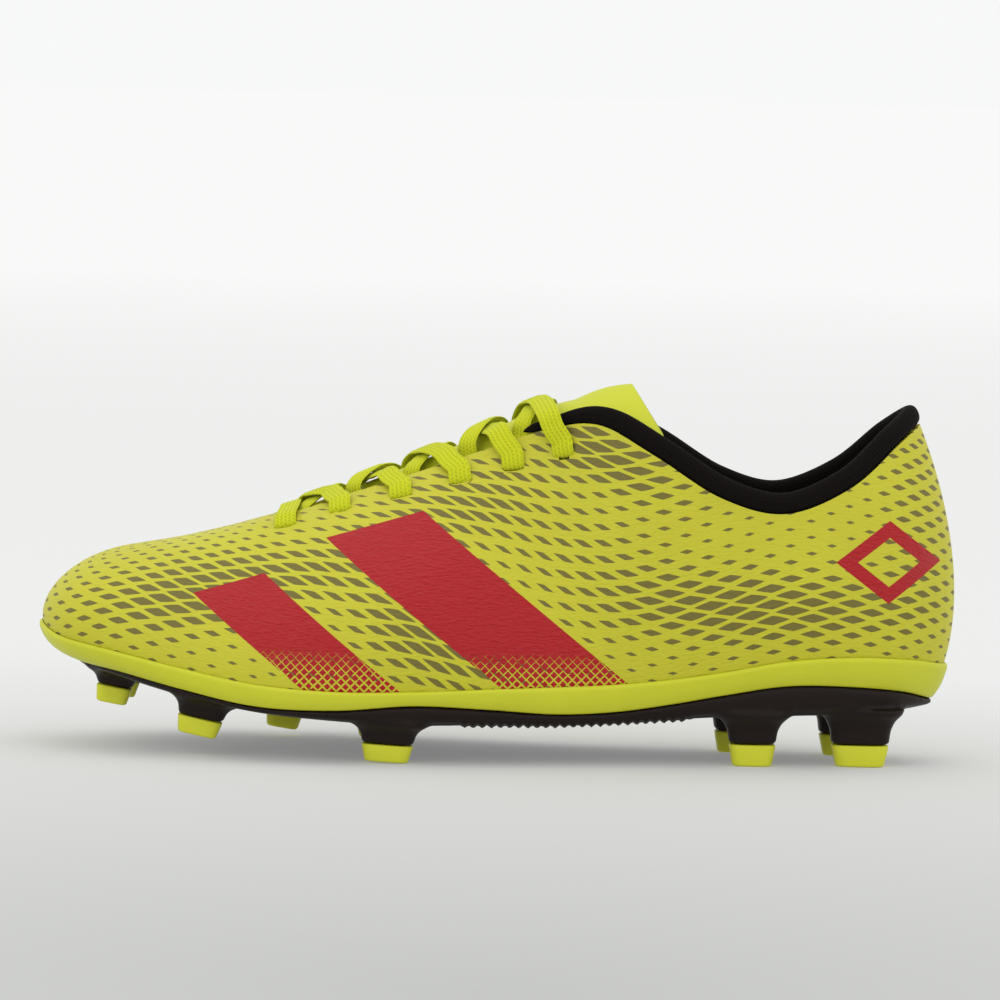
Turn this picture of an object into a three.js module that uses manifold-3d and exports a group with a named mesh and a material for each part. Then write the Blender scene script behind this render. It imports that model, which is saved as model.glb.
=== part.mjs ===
// A left soccer cleat for firm ground: moulded sole plate with ten studs, glued edge band, lasted one-piece
// upper with its stiffeners and linings, tongue with a free top flap, and one flat lace.
// Millimetres. +X runs from toe to heel, -Y is the lateral side, +Z is up, and the studs stand on z = 0.
import * as THREE from 'three';
import { mergeVertices } from 'three/addons/utils/BufferGeometryUtils.js';
import Module from 'manifold-3d';

const wasm = await Module();
wasm.setup();

// ---- Driving dimensions -------------------------------------------------------------------------

const LENGTH = 285; // of the upper, toe to heel
const BALL_WIDTH = 97; // across the ball
const TOPLINE_HEIGHT = 107; // ground to the top of the heel, under the collar roll

const CLEARANCE = 0.3; // between bonded or touching pieces
const UPPER_THICKNESS = 1.4;
const STIFFENER_THICKNESS = 1.0; // toe puff, heel counter and eyestay backers
const LINING_THICKNESS = 0.8;
const COLLAR_FOAM_THICKNESS = 3.2;
const ROLL_HEIGHT = 6.4; // the padded roll round the collar
const ROLL_WIDTH = 5.4;
const ROLL_PROUD = 0.9; // how far it stands out past the upper

const BAND_THICKNESS = 1.3; // the coloured band round the sole's edge
const PLATE_LIP = 1.4; // how far the plate stands out past the upper's lower edge
const PLATE_FLOOR = 3.4; // plate thickness under the heel wedge
const WEDGE_INSET = 5.5;
const BOARD_THICKNESS = 1.8;
const INSOLE_THICKNESS = 3.5;
const INSOLE_INSET = 4.4;

const STUD_TIP_HEIGHT = 5.6;
const STUD_TAPER = 0.84; // foot of a stud tip over its top
const STUD_FLARE = 4.2; // how far a stud's base spreads where it meets the plate
const RIB_PITCH = 2.8;
const RIB_HEIGHT = 1.0;

const LACE_WIDTH = 7;
const LACE_THICKNESS = 1.3;
const LACE_CLEARANCE = 0.5;
const LACE_RIDE = 1.05; // its middle over the surface that it lies on
const OVER_EDGE = 1.9; // its height where it crosses over the facing's edge
const CROSS_LOW = 0.9; // the lower lace's height where two cross
const EYELET_SETBACK = 9.5; // along the facing, from its edge to the middle of a hole
const EYELET_PLAY = 0.7; // room round the lace in its hole
const BRIDGE_SHARE = 0.6; // how high the tongue and laces arch across the throat, by its half width
const BRIDGE_MOST = 10;
const TONGUE_THICKNESS = 2.4;
const TONGUE_LAP = 13; // how far the tongue reaches under each facing
const TONGUE_CROWN_DEPTH = 0.7; // under the arch, at its middle
const FLAP_TAPER = 0.6; // the free edge's share of the tongue's thickness
const FOLD_X = 21; // where the tongue's top flap starts
const FLAP_CENTRE = new THREE.Vector3(38.5, 0, 116.5); // its free edge, at the middle
const FLAP_CORNER = new THREE.Vector3(49, 21, 100); // and at the medial corner
const AGLET_LENGTH = 18;
const AGLET_RADIUS = 1.6;

// ---- The last: sixteen stations from toe (0) to heel (15), for a reference last that is scaled to

const REFERENCE = { length: 285, width: 97, height: 107 };
const scaleX = LENGTH / REFERENCE.length;
const scaleY = BALL_WIDTH / REFERENCE.width;
const scaleZ = TOPLINE_HEIGHT / REFERENCE.height;
const stretched = (values, scale) => values.map((value) => value * scale);

const LAST_STATION = 15;
const THROAT_STATION = 4; // where the lace opening starts

// The upper's lower edge in plan and its height.
const edgeX = stretched([
  -133, -129, -117, -98, -75, -51, -27, -4,
  16, 34, 51, 69, 88, 107, 123.5, 133.5,
], scaleX);
const edgeLateral = stretched([
  4, -12, -25, -35, -41, -44, -43, -39.5,
  -35.5, -32, -29.8, -28.8, -28.5, -26, -17, 0,
], scaleY);
const edgeMedial = stretched([
  4, 20, 31, 40, 44.5, 44.5, 40.5, 34,
  29, 26.8, 26, 26.2, 27, 26, 17, 0,
], scaleY);
const edgeZ = stretched([
  28, 27.3, 25.6, 21.4, 17.1, 16.6, 18.4, 17.4,
  16.1, 16.8, 19.2, 22.6, 25.8, 25.8, 23.9, 20.5,
], scaleZ);

// The top: the crest of the vamp up to the throat, then the facing's edge and the collar line.
const topX = stretched([
  -112, -107, -98, -86, -72, -50, -28, -6,
  12, 28, 46, 66, 86, 106, 121, 128.5,
], scaleX);
const topZ = stretched([
  63.2, 64.1, 66, 69.2, 73.5, 80.5, 88, 96,
  102.5, 104.6, 95.5, 83.5, 79, 87, 100, 106,
], scaleZ);
const topHalf = stretched([0, 0, 0, 0, 0, 9.5, 12, 14, 17.5, 24, 29.5, 32, 31.5, 27, 16.5, 0], scaleY);
const crestY = stretched([3, 2.6, 2, 1, 0], scaleY);

// How each wall bulges: outward and up from the lower edge, outward and down from the top.
const lowOut = stretched([
  23.5, 22, 15, 10, 8.5, 8.5, 8.5, 8.5,
  8.5, 8.5, 9, 9, 9, 9.5, 11, 12.5,
], scaleY);
const lowUp = stretched([8, 9, 12, 15, 17, 19, 21, 22, 22, 22, 22, 20, 19, 20, 21, 21.5], scaleZ);
const highOut = stretched([28, 28, 27, 27, 27, 24, 22, 16, 10, 7, 4, 2, 2, 4.5, 9, 12.5], scaleY);
const highDown = stretched([2.2, 2, 1.5, 0.8, 0.5, 7, 12, 18, 24, 26, 23, 19, 17, 20, 25, 30], scaleZ);

// The band's top edge and the plate's underside.
const bandTopZ = stretched([
  38.5, 35, 32, 28, 23.9, 22.5, 22.9, 23.9,
  24.6, 25.5, 27.2, 30, 33.7, 35.1, 34, 31.5,
], scaleZ);
const plateZ = stretched([
  26.4, 25, 22.8, 18.6, 14.7, 12.8, 11.9, 12.2,
  12.2, 12.9, 14, 15.2, 15.9, 16.6, 17.3, 17.8,
], scaleZ);

const depth = { // inward from the upper's outer face
  stiffener: UPPER_THICKNESS + CLEARANCE,
  lining: UPPER_THICKNESS + STIFFENER_THICKNESS + 2 * CLEARANCE,
};
depth.inside = depth.lining + LINING_THICKNESS;
depth.tongue = depth.inside + 2 * CLEARANCE + LACE_THICKNESS + 0.4;

// ---- Splines and the upper's outer surface ------------------------------------------------------

const mix = THREE.MathUtils.lerp;
const smooth = (value, low, high) => THREE.MathUtils.smoothstep(value, low, high);

// A value between stations, on a spline through them that is level at both ends, or odd about the heel.
function at(values, k, oddAtHeel = false) {
  const last = values.length - 1;
  const value = (i) => {
    if (i < 0) return values[-i];
    if (i > last) return oddAtHeel ? -values[2 * last - i] : values[2 * last - i];
    return values[i];
  };
  const i = Math.min(Math.floor(k), last - 1);
  const [a, b, c, d] = [value(i - 1), value(i), value(i + 1), value(i + 2)];
  const f = k - i;
  return b + 0.5 * f * (c - a + f * (2 * a - 5 * b + 4 * c - d + f * (3 * (b - c) + d - a)));
}

// u runs round the shoe: 0 toe, 15 heel by the lateral side, 30 the toe again by the medial side.
const ROUND = 2 * LAST_STATION;
const wrap = (u) => THREE.MathUtils.euclideanModulo(u, ROUND);
const stationOf = (u) => (wrap(u) <= LAST_STATION ? wrap(u) : ROUND - wrap(u));
const sideOf = (u) => (wrap(u) <= LAST_STATION ? -1 : 1);
const onSide = (side, k) => (side < 0 ? k : ROUND - k);

const edgeLoop = new THREE.CatmullRomCurve3(
  Array.from({ length: ROUND }, (_, u) => {
    const k = stationOf(u);
    return new THREE.Vector3(edgeX[k], sideOf(u) < 0 ? edgeLateral[k] : edgeMedial[k], edgeZ[k]);
  }), true, 'catmullrom', 0.5);

const edgePoint = (u) => edgeLoop.getPoint(wrap(u) / ROUND);

function outward(u) { // level, square to the lower edge
  const along = edgePoint(u + 0.02).sub(edgePoint(u - 0.02));
  return new THREE.Vector3(along.y, -along.x, 0).normalize();
}

function halfOpening(k) {
  if (k <= THROAT_STATION) return 0;
  const first = THROAT_STATION + 1;
  if (k < first) return topHalf[first] * Math.sqrt(1 - (first - k) ** 2);
  return at(topHalf, k, true);
}

// Just behind the throat's front the opening cuts the walls short faster than the stations say.
function trim(k) {
  const first = THROAT_STATION + 1;
  if (k <= THROAT_STATION || k >= first) return 1;
  const whole = 3 * at(highOut, k);
  return (1 - halfOpening(k) / whole) / (1 - ((k - THROAT_STATION) * topHalf[first]) / whole);
}

function topPoint(u) {
  const k = stationOf(u);
  const centre = k < THROAT_STATION ? at(crestY, k) : 0;
  return new THREE.Vector3(at(topX, k), centre + sideOf(u) * halfOpening(k), at(topZ, k));
}

// A point of the upper's outer face: v is 0 at its lower edge and 1 at its top.
function wall(u, v) {
  const k = stationOf(u);
  const out = outward(u);
  const a = edgePoint(u);
  const d = topPoint(u);
  const b = a.clone().addScaledVector(out, trim(k) * at(lowOut, k));
  b.z += trim(k) * at(lowUp, k);
  const c = d.clone().addScaledVector(out, trim(k) * at(highOut, k));
  c.z -= trim(k) * at(highDown, k);
  const w = 1 - v;
  return a.multiplyScalar(w ** 3).addScaledVector(b, 3 * w * w * v)
    .addScaledVector(c, 3 * w * v * v).addScaledVector(d, v ** 3);
}

function faceNormal(u, v) {
  const step = 0.02;
  const level = Math.min(Math.max(v, step), 1 - step);
  const along = wall(u + step, level).sub(wall(u - step, level));
  const up = wall(u, level + step / 2).sub(wall(u, level - step / 2));
  return along.cross(up).normalize();
}

function normal(u, v) {
  const onCrest = v > 0.999 && stationOf(u) <= THROAT_STATION;
  if (!onCrest) return faceNormal(u, v);
  const both = faceNormal(u, v).add(faceNormal(-u, v));
  return both.setY(0).normalize();
}

const inside = (u, v, deep) => wall(u, v).addScaledVector(normal(u, v), -deep);

// The surface carried on across the open throat: c is -1 at the lateral facing's edge, and 1 at the medial
// one.
function bridge(k, c) {
  const ends = [-1, 1].map((side) => topPoint(onSide(side, k)));
  const handles = ends.map((end, i) => {
    const up = end.clone().sub(wall(onSide(i ? 1 : -1, k), 0.97)).normalize();
    return end.clone().addScaledVector(up, Math.min(BRIDGE_SHARE * halfOpening(k), BRIDGE_MOST));
  });
  const [f, g] = [(c + 1) / 2, (1 - c) / 2];
  return ends[0].multiplyScalar(g ** 3).addScaledVector(handles[0], 3 * g * g * f)
    .addScaledVector(handles[1], 3 * g * f * f).addScaledVector(ends[1], f ** 3);
}

function solve(test, low, high) { // where a test turns from false to true
  for (let i = 0; i < 30; i++) {
    const middle = (low + high) / 2;
    if (test(middle)) high = middle;
    else low = middle;
  }
  return high;
}

const levelAtHeight = (u, z) => solve((v) => wall(u, v).z > z, 0, 0.7);

function levelFromTop(u, distance) { // how far down v is, for a way down the wall from its top
  const step = 0.01;
  let run = 0;
  let here = wall(u, 1);
  for (let v = 1 - step; v > 0.4; v -= step) {
    const next = wall(u, v);
    const length = next.distanceTo(here);
    if (run + length >= distance) return v + step * (1 - (distance - run) / length);
    run += length;
    here = next;
  }
  return 0.4;
}

// Half the way across the throat at station k, measured along the bridge.
function halfWay(k) {
  const points = [0, 0.25, 0.5, 0.75, 1].map((c) => bridge(k, c));
  return points.slice(1).reduce((sum, point, i) => sum + point.distanceTo(points[i]), 0);
}

// A point over or under the instep: s is measured across the shoe from its middle, and h up from the surface.
function instep(k, s, h) {
  const half = halfWay(k);
  const on = (station, distance) => {
    if (half > 0 && Math.abs(distance) <= half) return bridge(station, distance / half);
    const u = onSide(Math.sign(distance), station);
    return wall(u, levelFromTop(u, Math.abs(distance) - half));
  };
  const along = on(k + 0.05, s).sub(on(k - 0.05, s));
  const across = on(k, s + 0.6).sub(on(k, s - 0.6));
  return on(k, s).addScaledVector(along.cross(across).normalize(), h);
}

// ---- Solids -------------------------------------------------------------------------------------

function geometryOf(points, triangles) {
  const made = new THREE.BufferGeometry();
  made.setAttribute('position', new THREE.Float32BufferAttribute(points.flatMap((p) => [p.x, p.y, p.z]), 3));
  made.setIndex(triangles.flat());
  return made;
}

function solidOf(geometry) { // closed and facing out, whichever way round its faces were listed
  const merged = mergeVertices(geometry, 1e-3);
  const kept = [];
  const index = merged.index.array;
  for (let i = 0; i < index.length; i += 3) {
    const [a, b, c] = [index[i], index[i + 1], index[i + 2]];
    if (a !== b && b !== c && a !== c) kept.push(a, b, c);
  }
  const made = (triVerts) => new wasm.Manifold(new wasm.Mesh({
    numProp: 3, vertProperties: merged.attributes.position.array, triVerts: new Uint32Array(triVerts),
  }));
  const solid = made(kept);
  return solid.volume() < 0 ? made(kept.reverse()) : solid;
}

function geometryFrom(solid) {
  const mesh = solid.getMesh();
  const made = new THREE.BufferGeometry();
  const places = new Float32Array(mesh.numVert * 3);
  for (let i = 0; i < mesh.numVert; i++) {
    places.set(mesh.vertProperties.subarray(i * mesh.numProp, i * mesh.numProp + 3), i * 3);
  }
  made.setAttribute('position', new THREE.BufferAttribute(places, 3));
  made.setIndex(new THREE.BufferAttribute(mesh.triVerts, 1));
  return made;
}

// A body skinned over rings of equal length: sides between rings, and a flat fan at each end.
function ringBody(rings) {
  const count = rings[0].length;
  const points = rings.flat();
  const triangles = [];
  for (let r = 0; r + 1 < rings.length; r++) {
    for (let i = 0; i < count; i++) {
      const [a, b] = [r * count + i, r * count + ((i + 1) % count)];
      triangles.push([a, b, b + count], [a, b + count, a + count]);
    }
  }
  [0, rings.length - 1].forEach((r) => {
    const centre = new THREE.Vector3();
    rings[r].forEach((p) => centre.addScaledVector(p, 1 / count));
    const hub = points.push(centre) - 1;
    for (let i = 0; i < count; i++) {
      const [a, b] = [r * count + i, r * count + ((i + 1) % count)];
      triangles.push(r ? [a, b, hub] : [b, a, hub]);
    }
  });
  return geometryOf(points, triangles);
}

// A curved sheet of the upper between two depths. us are its columns, and low and high bound its rows.
function sheetSolid({ us, low = () => 0, high = () => 1, outer, inner, loop = false }) {
  const rows = LEVELS.length - 1;
  const face = (deep) => us.map((u) => LEVELS.map((level) => {
    const v = Math.min(Math.max(level, low(u)), high(u));
    return inside(u, v, deep(u, v));
  }));
  const points = [...face(outer).flat(), ...face(inner).flat()];
  const id = (side, i, j) => side * us.length * (rows + 1) + (i % us.length) * (rows + 1) + j;
  const triangles = [];
  const quad = (a, b, c, d) => triangles.push([a, b, c], [a, c, d]);
  const columns = loop ? us.length : us.length - 1;
  for (let i = 0; i < columns; i++) {
    for (let j = 0; j < rows; j++) {
      quad(id(0, i, j), id(0, i + 1, j), id(0, i + 1, j + 1), id(0, i, j + 1));
      quad(id(1, i, j), id(1, i, j + 1), id(1, i + 1, j + 1), id(1, i + 1, j));
    }
    quad(id(0, i, 0), id(1, i, 0), id(1, i + 1, 0), id(0, i + 1, 0));
    const next = us[(i + 1) % us.length];
    const crest = [us[i], next].every((u) => high(u) > 0.999 && stationOf(u) <= THROAT_STATION);
    if (!crest) quad(id(0, i, rows), id(0, i + 1, rows), id(1, i + 1, rows), id(1, i, rows));
  }
  if (!loop) {
    const end = us.length - 1;
    for (let j = 0; j < rows; j++) {
      quad(id(0, 0, j), id(0, 0, j + 1), id(1, 0, j + 1), id(1, 0, j));
      quad(id(0, end, j), id(1, end, j), id(1, end, j + 1), id(0, end, j + 1));
    }
  }
  return geometryOf(points, triangles);
}

// Sheets share these rows and whole or half stations, so that layers stay parallel.
const LEVELS = [0, 0.07, 0.16, 0.27, 0.4, 0.54, 0.68, 0.82, 0.93, 1];

const span = (from, to, step) => {
  const count = Math.max(1, Math.round((to - from) / step));
  return Array.from({ length: count + 1 }, (_, i) => mix(from, to, i / count));
};
const THROAT_FRONT = THROAT_STATION + 0.12; // an extra column, where the lace opening widens fast
const COLUMNS = [
  ...span(0, ROUND, 0.5).slice(0, -1), THROAT_FRONT, ROUND - THROAT_FRONT,
].sort((a, b) => a - b);

function columns(from, to) { // the shared columns from one place to another, with both ends
  const twice = [...COLUMNS.map((u) => u - ROUND), ...COLUMNS];
  const shared = twice.filter((u) => u > from + 1e-6 && u < to - 1e-6);
  return [from, ...shared, to];
}

// A station value found by its place along the shoe, carried on straight past both ends.
function byX(values, x) {
  const ends = [0.3, LAST_STATION - 0.3];
  const k = solve((value) => at(edgeX, value) > x, ...ends);
  const [a, b] = k < 1 ? [ends[0], ends[0] + 0.3] : [ends[1] - 0.3, ends[1]];
  if (k > ends[0] + 1e-6 && k < ends[1] - 1e-6) return at(values, k);
  const slope = (at(values, b) - at(values, a)) / (at(edgeX, b) - at(edgeX, a));
  return at(values, k) + slope * (x - at(edgeX, k));
}
const edgeHeight = (x) => byX(edgeZ, x);
const plateHeight = (x) => byX(plateZ, x);

// A floor piece inside or under the upper: the plan of the lower edge moved out by each layer's amount.
function floorSolid(layers, from = 0, to = LAST_STATION, step = 0.5) {
  const ks = span(from, to, step);
  const us = [...ks.map((k) => onSide(-1, k)), ...ks.map((k) => onSide(1, k)).reverse()];
  const rings = layers.map(({ out, z }) => us.map((u) => {
    const p = edgePoint(u).addScaledVector(outward(u), out);
    return new THREE.Vector3(p.x, p.y, z(p.x));
  }));
  const count = us.length;
  const triangles = [];
  rings.slice(1).forEach((_, r) => {
    for (let i = 0; i < count; i++) {
      const [a, b] = [r * count + i, r * count + ((i + 1) % count)];
      triangles.push([a, a + count, b + count], [a, b + count, b]);
    }
  });
  const foot = (layers.length - 1) * count;
  for (let i = 0; i + 1 < ks.length; i++) {
    const [a, b, c, d] = [i, i + 1, count - 2 - i, count - 1 - i];
    triangles.push([a, b, c], [a, c, d]);
    triangles.push([foot + a, foot + c, foot + b], [foot + a, foot + d, foot + c]);
  }
  return geometryOf(rings.flat(), triangles);
}

// A flat strip along a route of { p, n }: n is the way its face points, and turns with it round a bend.
function ribbonSolid(route, width, thickness) {
  const places = route.map(({ p }) => p);
  const along = places.map((_, i) => places[Math.min(i + 1, places.length - 1)].clone()
    .sub(places[Math.max(i - 1, 0)]).normalize());
  const across = ribbonAcross(route, along);
  const section = [[-1, 0], [-0.8, -1], [0.8, -1], [1, 0], [0.8, 1], [-0.8, 1]];
  return ringBody(places.map((p, i) => {
    const up = across[i].clone().cross(along[i]).normalize();
    return section.map(([s, t]) => p.clone().addScaledVector(across[i], (s * width) / 2)
      .addScaledVector(up, (t * thickness) / 2));
  }));
}

function ribbonAcross(route, along) {
  const found = route.map(({ n }, i) => {
    const side = along[i].clone().cross(n);
    return side.length() > 0.45 ? side.normalize() : null;
  });
  let previous = found.find(Boolean).clone();
  found.forEach((side, i) => {
    if (!side) return;
    if (side.dot(previous) < 0) side.negate();
    previous = side;
    found[i] = side;
  });
  return found.map((side, i) => {
    if (side) return side;
    const before = found.slice(0, i).reverse().find(Boolean);
    const after = found.slice(i + 1).find(Boolean);
    const made = (before || after).clone().add(after || before);
    return made.addScaledVector(along[i], -made.dot(along[i])).normalize();
  });
}

// ---- Materials ----------------------------------------------------------------------------------

const finish = (color, roughness) => new THREE.MeshStandardMaterial({ color, roughness, metalness: 0 });
const COLOURS = {
  upper: finish(0xcfc93a, 0.5), band: finish(0xc3cc38, 0.45), plate: finish(0x241a18, 0.4),
  tip: finish(0xc8d43a, 0.4), lining: finish(0x17110f, 0.9), board: finish(0xc9bfa6, 0.9),
  foam: finish(0x3a3a3c, 0.95), stiffener: finish(0xd8d4c8, 0.7), tongue: finish(0xc9d22f, 0.6),
  lace: finish(0xb7d422, 0.75), insole: finish(0x1d1a1a, 0.9), aglet: finish(0xd6e27a, 0.2),
};

const cleat = new THREE.Group();

function addPiece(name, shape, material) {
  const geometry = shape.isBufferGeometry ? geometryFrom(solidOf(shape)) : geometryFrom(shape);
  geometry.computeVertexNormals();
  const mesh = new THREE.Mesh(geometry, material);
  mesh.name = name;
  cleat.add(mesh);
}

// ---- Upper, stiffeners and linings --------------------------------------------------------------

const deep = (value) => () => value;
const LINING_SETBACK = 5; // from the facing's edge
const SEAM_GAP = 0.02; // in stations
const liningTop = (u) => levelFromTop(u, mix(LINING_SETBACK, 1, smooth(stationOf(u), 9, 10)));
const clearOf = (height, shallow, thick) => (u) => solve((v) => [shallow, thick].every((deepness) => {
  const p = inside(u, v, deepness);
  return p.z > edgeHeight(p.x) + height;
}), 0, 0.5);
const aboveBoard = (thick) => clearOf(BOARD_THICKNESS + 2 * CLEARANCE, depth.stiffener, thick);
const EYELET_STATIONS = [4.28, 4.96, 5.77, 6.57, 7.38, 8.3];
const SIDES = { lateral: -1, medial: 1 };
const HOLE_SIDES = 8;

// A hole for the lace: long across the lace's way, and square to the facing.
function eyeletCutter(side, k) {
  const u = onSide(side, k);
  const v = levelFromTop(u, EYELET_SETBACK);
  const out = normal(u, v);
  const down = wall(u, v - 0.01).sub(wall(u, v)).normalize();
  const along = out.clone().cross(down).normalize();
  const half = { long: LACE_WIDTH / 2 + EYELET_PLAY, short: LACE_THICKNESS / 2 + 2 * EYELET_PLAY };
  const ring = (lift) => Array.from({ length: HOLE_SIDES }, (_, i) => {
    const turn = (i / HOLE_SIDES) * 2 * Math.PI;
    return wall(u, v).addScaledVector(out, lift).addScaledVector(along, half.long * Math.cos(turn))
      .addScaledVector(down, half.short * Math.sin(turn));
  });
  return solidOf(ringBody([ring(-depth.tongue + 0.5), ring(2)]));
}

const eyeletCutters = Object.values(SIDES).flatMap(
  (side) => EYELET_STATIONS.map((k) => eyeletCutter(side, k)),
);
const pierced = (geometry) => eyeletCutters.reduce(
  (solid, cutter) => solid.subtract(cutter), solidOf(geometry),
);

addPiece('upper_shell', pierced(sheetSolid({
  us: COLUMNS, outer: deep(0), inner: deep(UPPER_THICKNESS), loop: true,
})), COLOURS.upper);

const FACING_END = 9;
const below = (distance) => (u) => (stationOf(u) > THROAT_STATION ? levelFromTop(u, distance) : 1);
Object.entries(SIDES).forEach(([name, side]) => {
  const [from, to] = [onSide(side, THROAT_FRONT), onSide(side, FACING_END)].sort((a, b) => a - b);
  addPiece(`eyestay_backer_${name}`, pierced(sheetSolid({
    us: columns(from, to), low: deep(LEVELS[7]), high: below(LINING_SETBACK),
    outer: deep(depth.stiffener), inner: deep(depth.stiffener + STIFFENER_THICKNESS),
  })), COLOURS.stiffener);
});

const PUFF_REACH = 2.5;
addPiece('toe_puff', sheetSolid({
  us: columns(-PUFF_REACH, PUFF_REACH), high: deep(LEVELS[7]),
  low: aboveBoard(depth.stiffener + STIFFENER_THICKNESS),
  outer: deep(depth.stiffener), inner: deep(depth.stiffener + STIFFENER_THICKNESS),
}), COLOURS.stiffener);

const COUNTER_TOP = LEVELS[5];
const COUNTER_FRONT = 11;
addPiece('heel_counter', sheetSolid({
  us: columns(COUNTER_FRONT, ROUND - COUNTER_FRONT), high: deep(COUNTER_TOP),
  low: aboveBoard(depth.stiffener + STIFFENER_THICKNESS),
  outer: deep(depth.stiffener), inner: deep(depth.stiffener + STIFFENER_THICKNESS),
}), COLOURS.stiffener);

// The collar's padding fills what the lining leaves, and thins out forwards and downwards.
const FOAM_FRONT = 9.5;
const LINING_JOIN = 4.5;
const padding = (u, v) => COLLAR_FOAM_THICKNESS * smooth(stationOf(u), FOAM_FRONT, FOAM_FRONT + 1.5)
  * smooth(v, COUNTER_TOP, LEVELS[7]) * (1 - 0.4 * smooth(v, LEVELS[7], 1));
const liningDepth = (u, v) => depth.lining + padding(u, v);
addPiece('collar_foam', sheetSolid({
  us: columns(FOAM_FRONT, ROUND - FOAM_FRONT), low: deep(LEVELS[6]), high: below(1.5),
  outer: deep(depth.stiffener), inner: (u, v) => liningDepth(u, v) - CLEARANCE,
}), COLOURS.foam);
addPiece('vamp_lining', pierced(sheetSolid({
  us: columns(-LINING_JOIN, LINING_JOIN), low: aboveBoard(depth.inside), high: below(LINING_SETBACK),
  outer: deep(depth.lining), inner: deep(depth.inside),
})), COLOURS.lining);
addPiece('quarter_lining', pierced(sheetSolid({
  us: columns(LINING_JOIN + SEAM_GAP, ROUND - LINING_JOIN - SEAM_GAP),
  low: aboveBoard(depth.inside), high: (u) => liningTop(u),
  outer: liningDepth, inner: (u, v) => liningDepth(u, v) + LINING_THICKNESS,
})), COLOURS.lining);

// The padded roll that finishes the collar, from facing to facing round the heel.
const ROLL_START = 7.6;
function collarRoll() {
  const us = span(ROLL_START, ROUND - ROLL_START, 0.4);
  return ringBody(us.map((u) => {
    const top = topPoint(u);
    const along = topPoint(u + 0.05).sub(topPoint(u - 0.05)).normalize();
    const out = normal(u, 1);
    const up = along.clone().cross(out).normalize();
    if (up.z < 0) up.negate();
    const swell = mix(0.42, 1, smooth(stationOf(u), ROLL_START, ROLL_START + 1.8));
    const middle = top.addScaledVector(up, (swell * ROLL_HEIGHT) / 2 + CLEARANCE)
      .addScaledVector(out, (-swell * ROLL_WIDTH) / 2 + ROLL_PROUD);
    return Array.from({ length: 8 }, (_, s) => {
      const turn = ((s + 0.5) / 8) * 2 * Math.PI;
      return middle.clone().addScaledVector(up, (swell * ROLL_HEIGHT * Math.sin(turn)) / 2)
        .addScaledVector(out, (swell * ROLL_WIDTH * Math.cos(turn)) / 2);
    });
  }));
}
addPiece('collar_roll', collarRoll(), COLOURS.lining);

// ---- Tongue -------------------------------------------------------------------------------------

const SLICES = [-1, -0.8, -0.6, -0.42, -0.22, 0, 0.22, 0.42, 0.6, 0.8, 1]; // across the tongue
const FOLD_HALF = 17; // half the tongue's width at the fold, clear of the collar roll
const tongueHalf = (k) => mix(halfWay(k) + TONGUE_LAP, FOLD_HALF, smooth(k, 7.2, 8.3));

function tongueDepth(k, s) { // it stands up between the facings, and lies deep under them
  const half = halfWay(k);
  const share = half > 0 ? Math.min(Math.abs(s) / half, 1) : 1;
  const lift = Math.min(0.5 * half, depth.tongue - TONGUE_CROWN_DEPTH);
  return depth.tongue - lift * (1 - share * share) ** 2;
}

const tonguePoint = (k, c, lower) => {
  const s = c * tongueHalf(k);
  return instep(k, s, -tongueDepth(k, s) - lower);
};
const tonguePointAt = (x, c, lower) => {
  const k = solve((station) => tonguePoint(station, c, lower).x > x, 7.5, 9.5);
  return tonguePoint(k, c, lower);
};

function tongueSlab(row) { // row(lower) lists rows of points, at one depth in the tongue
  const rings = row(0).map((top, i) => [...top, ...row(TONGUE_THICKNESS)[i].reverse()]);
  return ringBody(rings);
}

const baseRows = (lower) => [
  ...span(3.5, 8, 0.5).map((k) => SLICES.map((c) => tonguePoint(k, c, lower))),
  SLICES.map((c) => tonguePointAt(FOLD_X, c, lower)),
];
addPiece('tongue_base', tongueSlab(baseRows), COLOURS.tongue);

// Where the flap's lines point at its free edge, from the middle to the corners.
function flapEnd(c) {
  const share = Math.abs(c) ** 1.5;
  const p = FLAP_CENTRE.clone().lerp(FLAP_CORNER, share);
  return p.setY(c * FLAP_CORNER.y);
}
const flapRows = (lower) => [0, 1 / 3, 2 / 3, 1].map((t) => SLICES.map((c) => {
  const from = tonguePointAt(FOLD_X, c, lower);
  from.x += CLEARANCE;
  const to = flapEnd(c).addScaledVector(new THREE.Vector3(0.35, 0, -1), lower * FLAP_TAPER);
  return from.lerp(to, t);
}));
addPiece('tongue_flap', tongueSlab(flapRows), COLOURS.tongue);

// ---- Lace ---------------------------------------------------------------------------------------

// Way points are { k, s, h } as instep() takes them. A lace goes down through each eyelet from above, runs
// under the facing to the throat and comes up there to cross to the next eyelet on the other side.
const LANE = -(depth.inside + LACE_CLEARANCE + LACE_THICKNESS / 2);
const holeAt = (k) => halfWay(k) + EYELET_SETBACK;
const UNDER_EDGE = -(UPPER_THICKNESS + LACE_CLEARANCE + LACE_THICKNESS / 2);
const byRoll = (k) => smooth(k, ROLL_START - 0.5, ROLL_START); // 1 where the lace passes the collar roll

const intoEyelet = (k, side, turn = 1) => [ // turn is 1 back to the throat, and -1 down the shoe's side
  { back: 4.5, h: LACE_RIDE + 0.6 }, { back: 2.2, h: LACE_RIDE + 0.15 }, { back: 0.5, h: 0.3 * LACE_RIDE },
  { back: 0, h: -UPPER_THICKNESS }, { back: 0, h: LANE + 1.3 }, { back: 0.5 * turn, h: LANE + 0.1 },
  { back: 2 * turn, h: LANE }, { back: turn > 0 ? 5.6 : -2.6, h: LANE },
].map(({ back, h }) => ({ k, s: side * (holeAt(k) - back), h }));

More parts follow.
